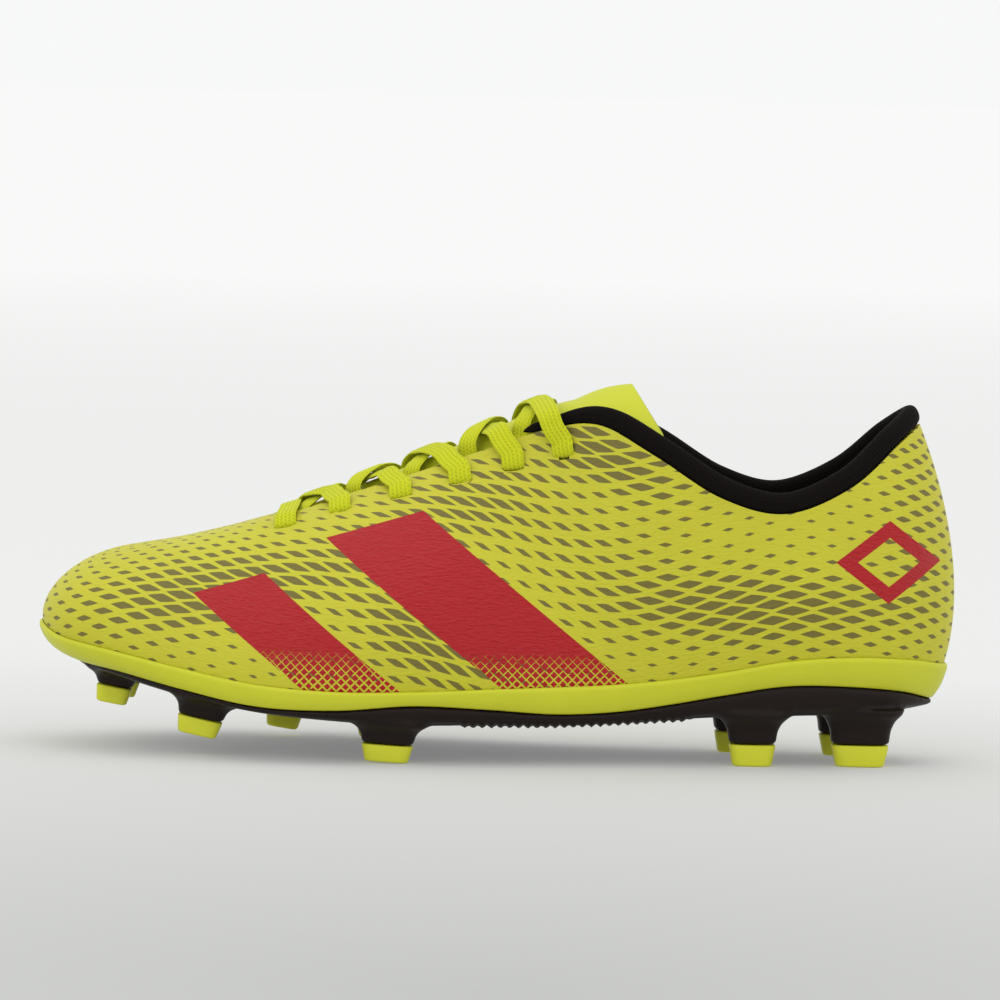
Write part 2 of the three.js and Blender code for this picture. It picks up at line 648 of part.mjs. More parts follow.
// From an eyelet's underside to the top of the next one, on the other side.
function crossing(from, to, side, low) {
  const k = (share) => mix(from, to, share);
  const half = halfWay(k(0.5));
  const middle = low ? CROSS_LOW : CROSS_LOW + LACE_THICKNESS + CLEARANCE;
  return [
    { k: k(0.05), s: side * (halfWay(k(0.05)) + 1.6), h: UNDER_EDGE - 0.2 },
    { k: k(0.12), s: side * halfWay(k(0.12)) * 0.77, h: UNDER_EDGE - 0.3 },
    { k: k(0.21), s: side * half * 0.52, h: low ? -0.6 : 0.9 - 0.9 * byRoll(from) },
    { k: k(0.38), s: side * half * 0.3, h: low ? middle - 0.4 : middle },
    { k: k(0.5), s: 0, h: middle },
    { k: k(0.62), s: -side * half * 0.3, h: middle },
    { k: k(0.79), s: -side * (halfWay(k(0.79)) - 4.2), h: OVER_EDGE + 1.7 * byRoll(to) },
    { k: k(0.88), s: -side * (halfWay(k(0.88)) + 0.8), h: OVER_EDGE - 0.3 + 1.3 * byRoll(to) },
  ];
}

function halfLace(side) { // from the middle of the first bar up to the last eyelet's underside
  const [first] = EYELET_STATIONS;
  const way = [
    { k: first, s: 0, h: LACE_RIDE + 0.6 },
    { k: first, s: (side * halfWay(first)) / 2, h: LACE_RIDE + 0.3 },
  ];
  let here = side;
  way.push(...intoEyelet(first, here));
  EYELET_STATIONS.slice(1).forEach((next, i) => {
    const turn = i + 2 === EYELET_STATIONS.length ? -1 : 1;
    way.push(...crossing(EYELET_STATIONS[i], next, here, side < 0), ...intoEyelet(next, -here, turn));
    here = -here;
  });
  return way;
}

const surfaceWay = (way) => way.map(({ k, s, h }) => {
  const p = instep(k, s, h);
  return { p, n: instep(k, s, h + 1).sub(p).normalize() };
});
const lacedWay = [...surfaceWay(halfLace(-1)).slice(1).reverse(), ...surfaceWay(halfLace(1))];
addPiece('lace', ribbonSolid(lacedWay, LACE_WIDTH, LACE_THICKNESS), COLOURS.lace);

// The free ends are tucked into the shoe: down the quarter lining, then forwards over the insole.
const LACE_ENDS = {
  lateral: [
    [19.7, -18.8, 90.4], [19.9, -20, 85.8], [19.4, -23, 76.8], [17.5, -25.8, 67], [14, -28.2, 57.2],
    [9, -30.6, 48], [2.5, -32, 39.5], [-5, -31.2, 32], [-13, -28, 26.8], [-23, -24, 25.2],
    [-35, -20.5, 24.8], [-48, -18.5, 24.1], [-61, -17.5, 23.8], [-74, -17, 24.4], [-84, -16.5, 26.2],
  ],
  medial: [
    [19.7, 18.4, 90.5], [19.7, 19.1, 86], [19.3, 20.9, 76.8], [17.6, 22.6, 67.2], [14, 24.2, 57.4],
    [9, 26.4, 48.2], [2.5, 27.2, 39.6], [-5, 26.6, 32.2], [-13, 24.2, 26.9], [-23, 21.5, 25.2],
    [-35, 19.5, 24.8], [-48, 18.2, 24.1], [-61, 17.6, 23.8], [-74, 17.2, 24.4], [-84, 17, 26.2],
  ],
};
const AGLET_WAY = new THREE.Vector3(-0.975, 0, 0.22).normalize();

function endFacing(p) { // square to the lining on the way down, and to the insole once it lies there
  const upright = smooth(p.z, 27, 40);
  const rise = 0.28 * smooth(p.z, 38, 55) - (1 - upright);
  return new THREE.Vector3(0, upright * Math.sign(p.y), rise).normalize();
}

function aglet(start) {
  const sides = Array.from({ length: 10 }, (_, i) => (i / 10) * 2 * Math.PI);
  const across = new THREE.Vector3(0, 1, 0);
  const up = across.clone().cross(AGLET_WAY);
  return ringBody([0, AGLET_LENGTH].map((way) => sides.map(
    (turn) => start.clone().addScaledVector(AGLET_WAY, way)
      .addScaledVector(across, AGLET_RADIUS * Math.cos(turn))
      .addScaledVector(up, AGLET_RADIUS * Math.sin(turn)),
  )));
}

Object.entries(LACE_ENDS).forEach(([name, places]) => {
  const points = places.map((place) => new THREE.Vector3(...place));
  const route = points.map((p) => ({ p, n: endFacing(p) }));
  addPiece(`lace_end_${name}`, ribbonSolid(route, LACE_WIDTH, LACE_THICKNESS), COLOURS.lace);
  const agletStart = points.at(-1).clone().addScaledVector(AGLET_WAY, 2 * CLEARANCE);
  addPiece(`aglet_${name}`, aglet(agletStart), COLOURS.aglet);
});

// ---- Sole ---------------------------------------------------------------------------------------

addPiece('edge_band', sheetSolid({
  us: COLUMNS, low: clearOf(0, -CLEARANCE, -CLEARANCE - BAND_THICKNESS),
  high: (u) => levelAtHeight(u, at(bandTopZ, stationOf(u))),
  outer: deep(-CLEARANCE - BAND_THICKNESS), inner: deep(-CLEARANCE), loop: true,
}), COLOURS.band);

const under = (amount) => (x) => edgeHeight(x) + amount;
const towardsPlate = (share) => (x) => mix(edgeHeight(x) - CLEARANCE, plateHeight(x), share);
addPiece('lasting_board', floorSolid([
  { out: -depth.stiffener - 0.5, z: under(BOARD_THICKNESS) }, { out: -depth.stiffener - 0.5, z: under(0) },
]), COLOURS.board);
addPiece('insole', floorSolid([
  { out: -INSOLE_INSET, z: under(BOARD_THICKNESS + CLEARANCE + INSOLE_THICKNESS) },
  { out: -INSOLE_INSET, z: under(BOARD_THICKNESS + CLEARANCE) },
]), COLOURS.insole);

const WEDGE_FRONT = 8.6;
const WEDGE_BACK = 14.2;
const wedge = (out, play) => floorSolid([
  { out, z: (x) => edgeHeight(x) + (play ? 1 : -CLEARANCE) },
  { out, z: (x) => Math.min(plateHeight(x) + PLATE_FLOOR, edgeHeight(x) - 1) + (play ? 0 : CLEARANCE) },
], WEDGE_FRONT + (play ? 0 : 0.04), WEDGE_BACK - (play ? 0 : 0.04));
addPiece('heel_wedge', wedge(-WEDGE_INSET - CLEARANCE, false), COLOURS.foam);

// Each stud: its station, its side, how far its middle stands in from the edge, its size fore and aft and
// across, how far its foot is above the ground, and how steeply it follows the sole.
const STUDS = [
  { name: 'toe_lateral', side: -1, k: 1.0, inset: 8.5, length: 11.2, width: 9, foot: 13, pitch: 10 },
  { name: 'toe_medial', side: 1, k: 1.15, inset: 9, length: 11.2, width: 9, foot: 13, pitch: 10 },
  { name: 'fore_lateral', side: -1, k: 3.04, inset: 9.5, length: 14.2, width: 10, foot: 5.2, pitch: 12 },
  { name: 'fore_medial', side: 1, k: 4.2, inset: 10, length: 11.8, width: 10, foot: 2, pitch: 9 },
  { name: 'ball_lateral', side: -1, k: 5.69, inset: 9.2, length: 16, width: 10.5, foot: 0, pitch: 3 },
  { name: 'ball_medial', side: 1, k: 5.6, inset: 9.8, length: 16, width: 10.5, foot: 0, pitch: 3 },
  { name: 'heel_front_lateral', side: -1, k: 11.47, inset: 8.6, length: 14.6, width: 11, foot: 0, pitch: 0 },
  { name: 'heel_front_medial', side: 1, k: 11.28, inset: 8.2, length: 14.6, width: 11, foot: 0, pitch: 0 },
  { name: 'heel_rear_lateral', side: -1, k: 13.48, inset: 8.6, length: 18, width: 11.5, foot: 0, pitch: 0 },
  { name: 'heel_rear_medial', side: 1, k: 13.32, inset: 8.6, length: 18, width: 11.5, foot: 0, pitch: 0 },
];
const STUD_SIDES = 12;
const TIP_HEIGHTS = { heel: 1.2, other: 0.95 }; // heel tips are taller than the rest
const tipHeight = (stud) => STUD_TIP_HEIGHT * (stud.pitch ? TIP_HEIGHTS.other : TIP_HEIGHTS.heel);

function studFrame(stud) {
  const u = onSide(stud.side, stud.k);
  const place = edgePoint(u).addScaledVector(outward(u), -stud.inset);
  const pitch = THREE.MathUtils.degToRad(stud.pitch);
  const turn = new THREE.Quaternion().setFromAxisAngle(new THREE.Vector3(0, 1, 0), pitch);
  const drop = (stud.length / 2) * STUD_TAPER * Math.sin(pitch);
  return { foot: new THREE.Vector3(place.x, place.y, stud.foot + drop), turn };
}

function studRing(stud, height, grow, share = 1) {
  const { foot, turn } = studFrame(stud);
  return Array.from({ length: STUD_SIDES }, (_, i) => {
    const angle = ((i + 0.5) / STUD_SIDES) * 2 * Math.PI;
    const [c, s] = [Math.cos(angle), Math.sin(angle)];
    const squareness = 0.62; // 1 is an ellipse, and less is squarer
    const x = (stud.length / 2) * share * Math.sign(c) * Math.abs(c) ** squareness + grow * c;
    const y = (stud.width / 2) * share * Math.sign(s) * Math.abs(s) ** squareness + grow * s;
    return new THREE.Vector3(x, y, height).applyQuaternion(turn).add(foot);
  });
}

const studTip = (stud) => ringBody([
  studRing(stud, 0, -0.5, STUD_TAPER), studRing(stud, 0.5, 0, STUD_TAPER),
  studRing(stud, tipHeight(stud), 0),
]);

function studBase(stud) {
  const top = tipHeight(stud) + CLEARANCE;
  const { foot } = studFrame(stud);
  const rise = Math.max(plateHeight(foot.x) - foot.z - top, 1);
  const bury = Math.min(1.2, 0.4 * (edgeHeight(foot.x) - plateHeight(foot.x)));
  return ringBody([
    studRing(stud, top, 0), studRing(stud, top + rise * 0.45, 0.12 * STUD_FLARE),
    studRing(stud, top + rise * 0.75, 0.42 * STUD_FLARE), studRing(stud, top + rise, STUD_FLARE),
    studRing(stud, top + rise + bury, STUD_FLARE),
  ]);
}

const RIBS = { from: 6.55, to: 10.5, inset: 9 };
function rib(x) {
  const k = solve((value) => at(edgeX, value) > x, 5, 12);
  const z = at(plateZ, k);
  const reach = [-1, 1].map((side) => edgePoint(onSide(side, k)).y - side * RIBS.inset);
  return ringBody(reach.map((y) => [
    new THREE.Vector3(x - RIB_PITCH / 2, y, z + 0.5), new THREE.Vector3(x, y, z - RIB_HEIGHT),
    new THREE.Vector3(x + RIB_PITCH / 2, y, z + 0.5),
  ]));
}

function solePlate() {
  let plate = solidOf(floorSolid([
    { out: PLATE_LIP, z: towardsPlate(0) }, { out: PLATE_LIP, z: towardsPlate(0.12) },
    { out: PLATE_LIP - 1.2, z: towardsPlate(0.6) }, { out: -3.5, z: towardsPlate(1) },
  ]));
  const join = (geometry) => {
    plate = plate.add(solidOf(geometry));
  };
  STUDS.forEach((stud) => join(studBase(stud)));
  const [from, to] = [at(edgeX, RIBS.from), at(edgeX, RIBS.to)];
  span(from, to, RIB_PITCH).forEach((x) => join(rib(x)));
  return plate.subtract(solidOf(wedge(-WEDGE_INSET, true)));
}
addPiece('sole_plate', solePlate(), COLOURS.plate);
STUDS.forEach((stud) => addPiece(`stud_tip_${stud.name}`, studTip(stud), COLOURS.tip));

// The origin is under the middle of the whole shoe, at the foot of its studs.
const whole = new THREE.Box3().setFromObject(cleat);
const middle = whole.getCenter(new THREE.Vector3());
cleat.position.set(-middle.x, -middle.y, -whole.min.z);

export default cleat;
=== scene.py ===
"""A left soccer cleat for firm ground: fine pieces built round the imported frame.

Sizes are in millimetres, in the last's own frame: +X from toe to heel, -Y the lateral side and +Z up from
the ground. A finished piece is moved into the row frame, in metres, by Last.to_row.
"""

import logging
import math
from dataclasses import dataclass
from enum import Enum

import bpy
import numpy as np
from mathutils import Matrix, Vector


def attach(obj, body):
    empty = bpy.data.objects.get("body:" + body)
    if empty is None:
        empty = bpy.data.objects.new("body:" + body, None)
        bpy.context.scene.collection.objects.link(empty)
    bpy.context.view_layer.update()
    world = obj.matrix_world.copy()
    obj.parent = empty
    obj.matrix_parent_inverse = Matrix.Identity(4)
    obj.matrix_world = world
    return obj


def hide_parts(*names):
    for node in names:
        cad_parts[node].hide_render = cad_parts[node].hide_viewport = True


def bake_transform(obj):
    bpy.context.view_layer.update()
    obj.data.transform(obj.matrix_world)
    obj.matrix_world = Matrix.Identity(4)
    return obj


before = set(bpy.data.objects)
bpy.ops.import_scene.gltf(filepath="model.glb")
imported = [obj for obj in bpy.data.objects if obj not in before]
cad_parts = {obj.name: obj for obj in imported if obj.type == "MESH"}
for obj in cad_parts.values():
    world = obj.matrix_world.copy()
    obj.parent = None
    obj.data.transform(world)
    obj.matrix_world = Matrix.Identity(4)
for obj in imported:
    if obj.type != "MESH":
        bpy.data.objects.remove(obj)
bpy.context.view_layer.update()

LOG = logging.getLogger("cleat")
MM = 0.001
LAST_ORIGIN = np.array([2.463, -0.4965, 0.0])  # the last's origin in the row frame
ROUND = 30  # stations round the shoe: 0 toe, 15 heel by the lateral side, 30 the toe again
HEEL = 15
THROAT = 4  # the station where the lace opening starts
UPPER_THICKNESS = 1.4
LINING_DEPTH = 3.0
LINING_THICKNESS = 0.8
INSIDE_DEPTH = LINING_DEPTH + LINING_THICKNESS
CLEARANCE = 0.3
LACE_THICKNESS = 1.3


class Side(Enum):
    """A side of the shoe, with the sign of its y."""

    LATERAL = -1
    MEDIAL = 1

    @property
    def word(self) -> str:
        """The side's name as the frame's nodes spell it."""
        return self.name.lower()

    def round(self, station: float) -> float:
        """The place round the shoe of a station on this side."""
        return station if self is Side.LATERAL else ROUND - station


# ---- Numbers along curves --------------------------------------------------------------------------


def smooth(value: np.ndarray, low: float, high: float) -> np.ndarray:
    """A step from 0 at low to 1 at high with level ends."""
    share = np.clip((np.asarray(value, float) - low) / (high - low), 0, 1)
    return share * share * (3 - 2 * share)


def unit(vectors: np.ndarray) -> np.ndarray:
    """The vectors at length one."""
    return vectors / np.maximum(np.linalg.norm(vectors, axis=-1, keepdims=True), 1e-9)


def through(a: np.ndarray, b: np.ndarray, c: np.ndarray, d: np.ndarray, f: np.ndarray) -> np.ndarray:
    """A spline between b and c, at share f, with a and d as its outer points."""
    return b + 0.5 * f * (c - a + f * (2 * a - 5 * b + 4 * c - d + f * (3 * (b - c) + d - a)))


def at_station(values: tuple, k: np.ndarray, odd_at_heel: bool = False) -> np.ndarray:
    """A value between stations.

    Args:
        values: one value for each station from the toe to the heel.
        k: the stations asked for.
        odd_at_heel: True where the value changes sign past the heel.

    Returns:
        The values at k.
    """
    known = np.asarray(values, float)
    last = len(known) - 1
    k = np.asarray(k, float)
    first = np.minimum(np.floor(k).astype(int), last - 1)

    def pick(index: np.ndarray) -> np.ndarray:
        """A station's value, mirrored past the toe and the heel.

        Args:
            index: the stations, as whole numbers.

        Returns:
            Their values.
        """
        past = index > last
        inner = np.where(index < 0, -index, np.where(past, 2 * last - index, index))
        return np.where(past & odd_at_heel, -known[inner], known[inner])

    return through(pick(first - 1), pick(first), pick(first + 1), pick(first + 2), k - first)


def spline(points: np.ndarray, parts: int) -> np.ndarray:
    """A smooth line through points, with this many steps between each two.

    Args:
        points: the points that it goes through.
        parts: the number of steps.

    Returns:
        The points of the line, with both ends.
    """
    padded = np.vstack([2 * points[0] - points[1], points, 2 * points[-1] - points[-2]])
    steps = (np.arange(parts) / parts)[:, None]
    runs = [through(*padded[i : i + 4], steps) for i in range(len(points) - 1)]
    return np.vstack([*runs, points[-1:]])


# ---- The last --------------------------------------------------------------------------------------


@dataclass(frozen=True)
class Last:
    """The foot shape that the upper is pulled over, as sixteen stations from toe to heel."""

    edge_x: tuple = (-133, -129, -117, -98, -75, -51, -27, -4, 16, 34, 51, 69, 88, 107, 123.5, 133.5)
    edge_lateral: tuple = (
        4, -12, -25, -35, -41, -44, -43, -39.5, -35.5, -32, -29.8, -28.8, -28.5, -26, -17, 0,
    )
    edge_medial: tuple = (4, 20, 31, 40, 44.5, 44.5, 40.5, 34, 29, 26.8, 26, 26.2, 27, 26, 17, 0)
    edge_z: tuple = (
        28, 27.3, 25.6, 21.4, 17.1, 16.6, 18.4, 17.4, 16.1, 16.8, 19.2, 22.6, 25.8, 25.8, 23.9, 20.5,
    )
    top_x: tuple = (-112, -107, -98, -86, -72, -50, -28, -6, 12, 28, 46, 66, 86, 106, 121, 128.5)
    top_z: tuple = (
        63.2, 64.1, 66, 69.2, 73.5, 80.5, 88, 96, 102.5, 104.6, 95.5, 83.5, 79, 87, 100, 106,
    )
    top_half: tuple = (0, 0, 0, 0, 0, 9.5, 12, 14, 17.5, 24, 29.5, 32, 31.5, 27, 16.5, 0)
    crest_y: tuple = (3, 2.6, 2, 1, 0)
    low_out: tuple = (23.5, 22, 15, 10, 8.5, 8.5, 8.5, 8.5, 8.5, 8.5, 9, 9, 9, 9.5, 11, 12.5)
    low_up: tuple = (8, 9, 12, 15, 17, 19, 21, 22, 22, 22, 22, 20, 19, 20, 21, 21.5)
    high_out: tuple = (28, 28, 27, 27, 27, 24, 22, 16, 10, 7, 4, 2, 2, 4.5, 9, 12.5)
    high_down: tuple = (2.2, 2, 1.5, 0.8, 0.5, 7, 12, 18, 24, 26, 23, 19, 17, 20, 25, 30)
    band_top: tuple = (
        38.5, 35, 32, 28, 23.9, 22.5, 22.9, 23.9, 24.6, 25.5, 27.2, 30, 33.7, 35.1, 34, 31.5,
    )
    plate_z: tuple = (
        26.4, 25, 22.8, 18.6, 14.7, 12.8, 11.9, 12.2, 12.2, 12.9, 14, 15.2, 15.9, 16.6, 17.3, 17.8,
    )

    @staticmethod
    def to_row(points: np.ndarray) -> np.ndarray:
        """Points of the last's frame in the row frame, in metres."""
        return (np.asarray(points, float) + LAST_ORIGIN) * MM

    @staticmethod
    def station(u: np.ndarray) -> np.ndarray:
        """The station of a place round the shoe."""
        turn = np.mod(u, ROUND)
        return np.minimum(turn, ROUND - turn)

    @staticmethod
    def sign(u: np.ndarray) -> np.ndarray:
        """-1 on the lateral side and 1 on the medial side."""
        return np.where(np.mod(u, ROUND) <= HEEL, -1.0, 1.0)

    def edge(self, u: np.ndarray) -> np.ndarray:
        """The upper's lower edge at places u.

        Args:
            u: places round the shoe, in stations.

        Returns:
            The points, in the last's frame.
        """
        loop = []
        for i in range(ROUND):
            k = int(min(i, ROUND - i))
            y = self.edge_lateral[k] if i <= HEEL else self.edge_medial[k]
            loop.append((self.edge_x[k], y, self.edge_z[k]))
        known = np.array(loop, float)
        turn = np.mod(np.asarray(u, float), ROUND)
        first = np.floor(turn).astype(int)
        a, b, c, d = (known[(first + step) % ROUND] for step in (-1, 0, 1, 2))
        return through(a, b, c, d, (turn - first)[..., None])

    def outward(self, u: np.ndarray) -> np.ndarray:
        """The level direction square to the lower edge."""
        along = self.edge(u + 0.02) - self.edge(u - 0.02)
        return unit(np.stack([along[..., 1], -along[..., 0], np.zeros(along.shape[:-1])], -1))

    def half_opening(self, k: np.ndarray) -> np.ndarray:
        """Half the width of the throat and the collar, with a round front to the throat.

        Args:
            k: stations.

        Returns:
            Half the width at each.
        """
        front = self.top_half[THROAT + 1] * np.sqrt(np.clip(1 - (THROAT + 1 - k) ** 2, 0, 1))
        behind = at_station(self.top_half, k, odd_at_heel=True)
        return np.where(k <= THROAT, 0, np.where(k < THROAT + 1, front, behind))

    def _half_top(self, k: np.ndarray) -> np.ndarray:
        """Half the way between the whole walls' tops, which part smoothly behind the vamp.

        Args:
            k: stations.

        Returns:
            Half the way at each.
        """
        t = np.clip(k - THROAT, 0, 1)
        slope = (self.top_half[THROAT + 2] - self.top_half[THROAT]) / 2
        parting = self.top_half[THROAT + 1] * t * t * (3 - 2 * t) + slope * t * t * (t - 1)
        return np.where(k < THROAT + 1, parting, at_station(self.top_half, k, odd_at_heel=True))

    def _whole_wall(self, u: np.ndarray, v: np.ndarray) -> np.ndarray:
        """Points of the walls before the throat's front is cut out of them.

        Args:
            u: places round the shoe, in stations.
            v: how far up the wall, from 0 at its lower edge to 1 at its top.

        Returns:
            The points, in the last's frame.
        """
        k = self.station(u)
        out = self.outward(u)
        up = np.array([0.0, 0.0, 1.0])
        crest = at_station(self.crest_y, np.clip(k, 0, THROAT))
        centre = np.where(k < THROAT, crest, 0.0)
        y = centre + self.sign(u) * self._half_top(k)
        a, d = self.edge(u), np.stack([at_station(self.top_x, k), y, at_station(self.top_z, k)], -1)
        b = a + out * at_station(self.low_out, k)[..., None]
        b = b + up * at_station(self.low_up, k)[..., None]
        c = d + out * at_station(self.high_out, k)[..., None]
        c = c - up * at_station(self.high_down, k)[..., None]
        f = v[..., None]
        w = 1 - f
        return a * w**3 + 3 * b * w * w * f + 3 * c * w * f * f + d * f**3

    def _cut(self, u: np.ndarray) -> np.ndarray:
        """The level of the whole wall at which the throat's round front cuts it off.

        Args:
            u: places round the shoe, in stations.

        Returns:
            The level at each, 1 where nothing is cut off.
        """
        k = self.station(u)
        cut = np.ones(np.shape(u))
        rounded = (k > THROAT) & (k < THROAT + 1)
        if not rounded.any():
            return cut
        places, sources = np.unique(u[rounded], return_inverse=True)
        levels = np.linspace(0.5, 1, 101)
        line = self._whole_wall(*np.broadcast_arrays(places[:, None], levels[None, :]))
        half = self.half_opening(self.station(places))
        found = [np.interp(-h, -np.abs(y), levels) for h, y in zip(half, line[..., 1])]
        cut[rounded] = np.array(found)[sources.reshape(-1)]
        return cut

    def top(self, u: np.ndarray) -> np.ndarray:
        """The crest of the vamp, the facing's edge and the collar line."""
        return self.wall(u, np.ones(np.shape(u)))

    def wall(self, u: np.ndarray, v: np.ndarray) -> np.ndarray:
        """Points of the upper's outer face: v is 0 at its lower edge and 1 at its top."""
        u, v = np.broadcast_arrays(np.asarray(u, float), np.asarray(v, float))
        return self._whole_wall(u, v * self._cut(u))

    def _face_normal(self, u: np.ndarray, v: np.ndarray) -> np.ndarray:
        """The way the outer face looks, from its slopes.

        Args:
            u: places round the shoe, in stations.
            v: how far up the wall, from 0 at its lower edge to 1 at its top.

        Returns:
            Directions at length one.
        """
        step = 0.02
        level = np.clip(v, step, 1 - step)
        along = self.wall(u + step, level) - self.wall(u - step, level)
        rise = self.wall(u, level + step / 2) - self.wall(u, level - step / 2)
        return unit(np.cross(along, rise))

    def normal(self, u: np.ndarray, v: np.ndarray) -> np.ndarray:
        """The way the outer face looks, level across the crest of the vamp.

        Args:
            u: places round the shoe, in stations.
            v: how far up the wall, from 0 at its lower edge to 1 at its top.

        Returns:
            Directions at length one.
        """
        u, v = np.broadcast_arrays(np.asarray(u, float), np.asarray(v, float))
        own = self._face_normal(u, v)
        both = own + self._face_normal(-u, v)
        both[..., 1] = 0
        crest = ((v > 0.999) & (self.station(u) <= THROAT))[..., None]
        return np.where(crest, unit(both), own)

    def inside(self, u: np.ndarray, v: np.ndarray, deep: np.ndarray) -> np.ndarray:
        """Points under the outer face, this deep."""
        return self.wall(u, v) - self.normal(u, v) * np.asarray(deep, float)[..., None]

    def from_top(self, u: np.ndarray, distance: np.ndarray) -> np.ndarray:
        """How far down v is, for a way down the wall from its top.

        Args:
            u: places round the shoe, in stations.
            distance: the way down from the top.

        Returns:
            The level v of each.
        """
        u, distance = np.broadcast_arrays(np.asarray(u, float), np.asarray(distance, float))
        flat_u, flat_distance = u.ravel(), distance.ravel()
        levels = np.linspace(1, 0.3, 71)
        line = self.wall(flat_u[:, None], levels[None, :])
        steps = np.linalg.norm(np.diff(line, axis=1), axis=-1)
        run = np.concatenate([np.zeros((len(flat_u), 1)), np.cumsum(steps, axis=1)], axis=1)
        found = [np.interp(d, r, levels) for d, r in zip(flat_distance, run)]
        return np.array(found).reshape(u.shape)

    def bridge(self, k: np.ndarray, c: np.ndarray) -> np.ndarray:
        """The surface carried on across the throat: c runs from -1 to 1, lateral to medial.

        Args:
            k: stations.
            c: the place across, -1 at the lateral facing and 1 at the medial one.

        Returns:
            The points, in the last's frame.
        """
        k, c = np.broadcast_arrays(np.asarray(k, float), np.asarray(c, float))
        lift = np.minimum(0.6 * self.half_opening(k), 10)[..., None]
        ends, handles = [], []
        for side in (Side.LATERAL, Side.MEDIAL):
            u = k if side is Side.LATERAL else ROUND - k
            end = self.top(u)
            ends.append(end)
            handles.append(end + unit(end - self.wall(u, np.full(k.shape, 0.97))) * lift)
        f, g = ((c + 1) / 2)[..., None], ((1 - c) / 2)[..., None]
        inner = 3 * g * g * f * handles[0] + 3 * g * f * f * handles[1]
        return ends[0] * g**3 + inner + ends[1] * f**3

    def half_way(self, k: np.ndarray) -> np.ndarray:
        """Half the way across the throat, measured along the bridge.

        Args:
            k: stations.

        Returns:
            Half the way at each.
        """
        k = np.asarray(k, float)
        line = self.bridge(k[..., None], np.linspace(0, 1, 5))
        return np.linalg.norm(np.diff(line, axis=-2), axis=-1).sum(axis=-1)

    def on_instep(self, k: np.ndarray, s: np.ndarray) -> np.ndarray:
        """Points on the instep, s across the shoe from its middle.

        Args:
            k: stations.
            s: the way from the middle, below 0 on the lateral side.

        Returns:
            The points, in the last's frame.
        """
        half = self.half_way(k)
        over = (np.abs(s) <= half) & (half > 0)
        across = self.bridge(k, np.clip(s / np.maximum(half, 1e-6), -1, 1))
        u = np.where(s < 0, k, ROUND - k)
        down = self.wall(u, self.from_top(u, np.maximum(np.abs(s) - half, 0)))
        return np.where(over[..., None], across, down)

    def instep(self, k: np.ndarray, s: np.ndarray, h: np.ndarray) -> np.ndarray:
        """Points over or under the instep, h up from its surface.

        Args:
            k: stations.
            s: the way from the middle, below 0 on the lateral side.
            h: the height over the surface.

        Returns:
            The points, in the last's frame.
        """
        k, s, h = np.broadcast_arrays(*(np.asarray(value, float) for value in (k, s, h)))
        along = self.on_instep(k + 0.05, s) - self.on_instep(k - 0.05, s)
        across = self.on_instep(k, s + 0.6) - self.on_instep(k, s - 0.6)
        return self.on_instep(k, s) + unit(np.cross(along, across)) * h[..., None]

    def station_at(self, x: np.ndarray) -> np.ndarray:
        """The station whose lower edge lies at x, held inside both ends."""
        fine = np.linspace(0, HEEL, 601)
        return np.interp(x, at_station(self.edge_x, fine), fine)


LAST = Last()


# ---- Meshes ----------------------------------------------------------------------------------------


@dataclass
class Sheet:
    """A grid of points with its faces, before it has a thickness."""

    outer: np.ndarray
    inner: np.ndarray
    faces: np.ndarray
    uv: np.ndarray
    scales: np.ndarray | None = None  # where each point lies in the scales' lattice, and their size

    @staticmethod
    def joined(sheets: list["Sheet"]) -> "Sheet":
        """Several sheets as one, each keeping its own points.

        Args:
            sheets: the sheets, with or without scales alike.

        Returns:
            One sheet.
        """
        faces, start = [], 0
        for sheet in sheets:
            faces.append(sheet.faces + start)
            start += len(sheet.outer)
        scales = None
        if sheets[0].scales is not None:
            scales = np.concatenate([sheet.scales for sheet in sheets])
        return Sheet(
            np.vstack([sheet.outer for sheet in sheets]),
            np.vstack([sheet.inner for sheet in sheets]),
            np.vstack(faces),
            np.vstack([sheet.uv for sheet in sheets]),
            scales,
        )


def grid_faces(columns: int, rows: int, closed: bool = False) -> np.ndarray:
    """The quads of a grid whose points are listed column by column.

    Args:
        columns: how many columns it has.
        rows: how many points a column has.
        closed: True where the last column meets the first.

    Returns:
        Four point numbers for each quad.
    """
    starts = np.arange(columns if closed else columns - 1)
    i, j = np.meshgrid(starts, np.arange(rows - 1), indexing="ij")
    after = (i + 1) % columns
    corners = [i * rows + j, after * rows + j, after * rows + j + 1, i * rows + j + 1]
    return np.stack(corners, -1).reshape(-1, 4)


def mesh_object(
    name: str, points: np.ndarray, faces: list, corner_uv: np.ndarray | None = None
) -> bpy.types.Object:
    """A mesh object in the row frame.

    Args:
        name: the piece's name.
        points: its points, in the last's frame.
        faces: its faces, as lists of point numbers.
        corner_uv: the UV of each face corner in turn, in millimetres.

    Returns:
        The new object, smooth shaded, linked to the scene.
    """
    mesh = bpy.data.meshes.new(name)
    mesh.from_pydata(LAST.to_row(points).tolist(), [], [list(map(int, face)) for face in faces])
    if corner_uv is not None:
        layer = mesh.uv_layers.new(name="Cloth")
        layer.data.foreach_set("uv", np.asarray(corner_uv, np.float32).ravel())
    mesh.polygons.foreach_set("use_smooth", [True] * len(mesh.polygons))
    mesh.update()
    obj = bpy.data.objects.new(name, mesh)
    bpy.context.scene.collection.objects.link(obj)
    return obj


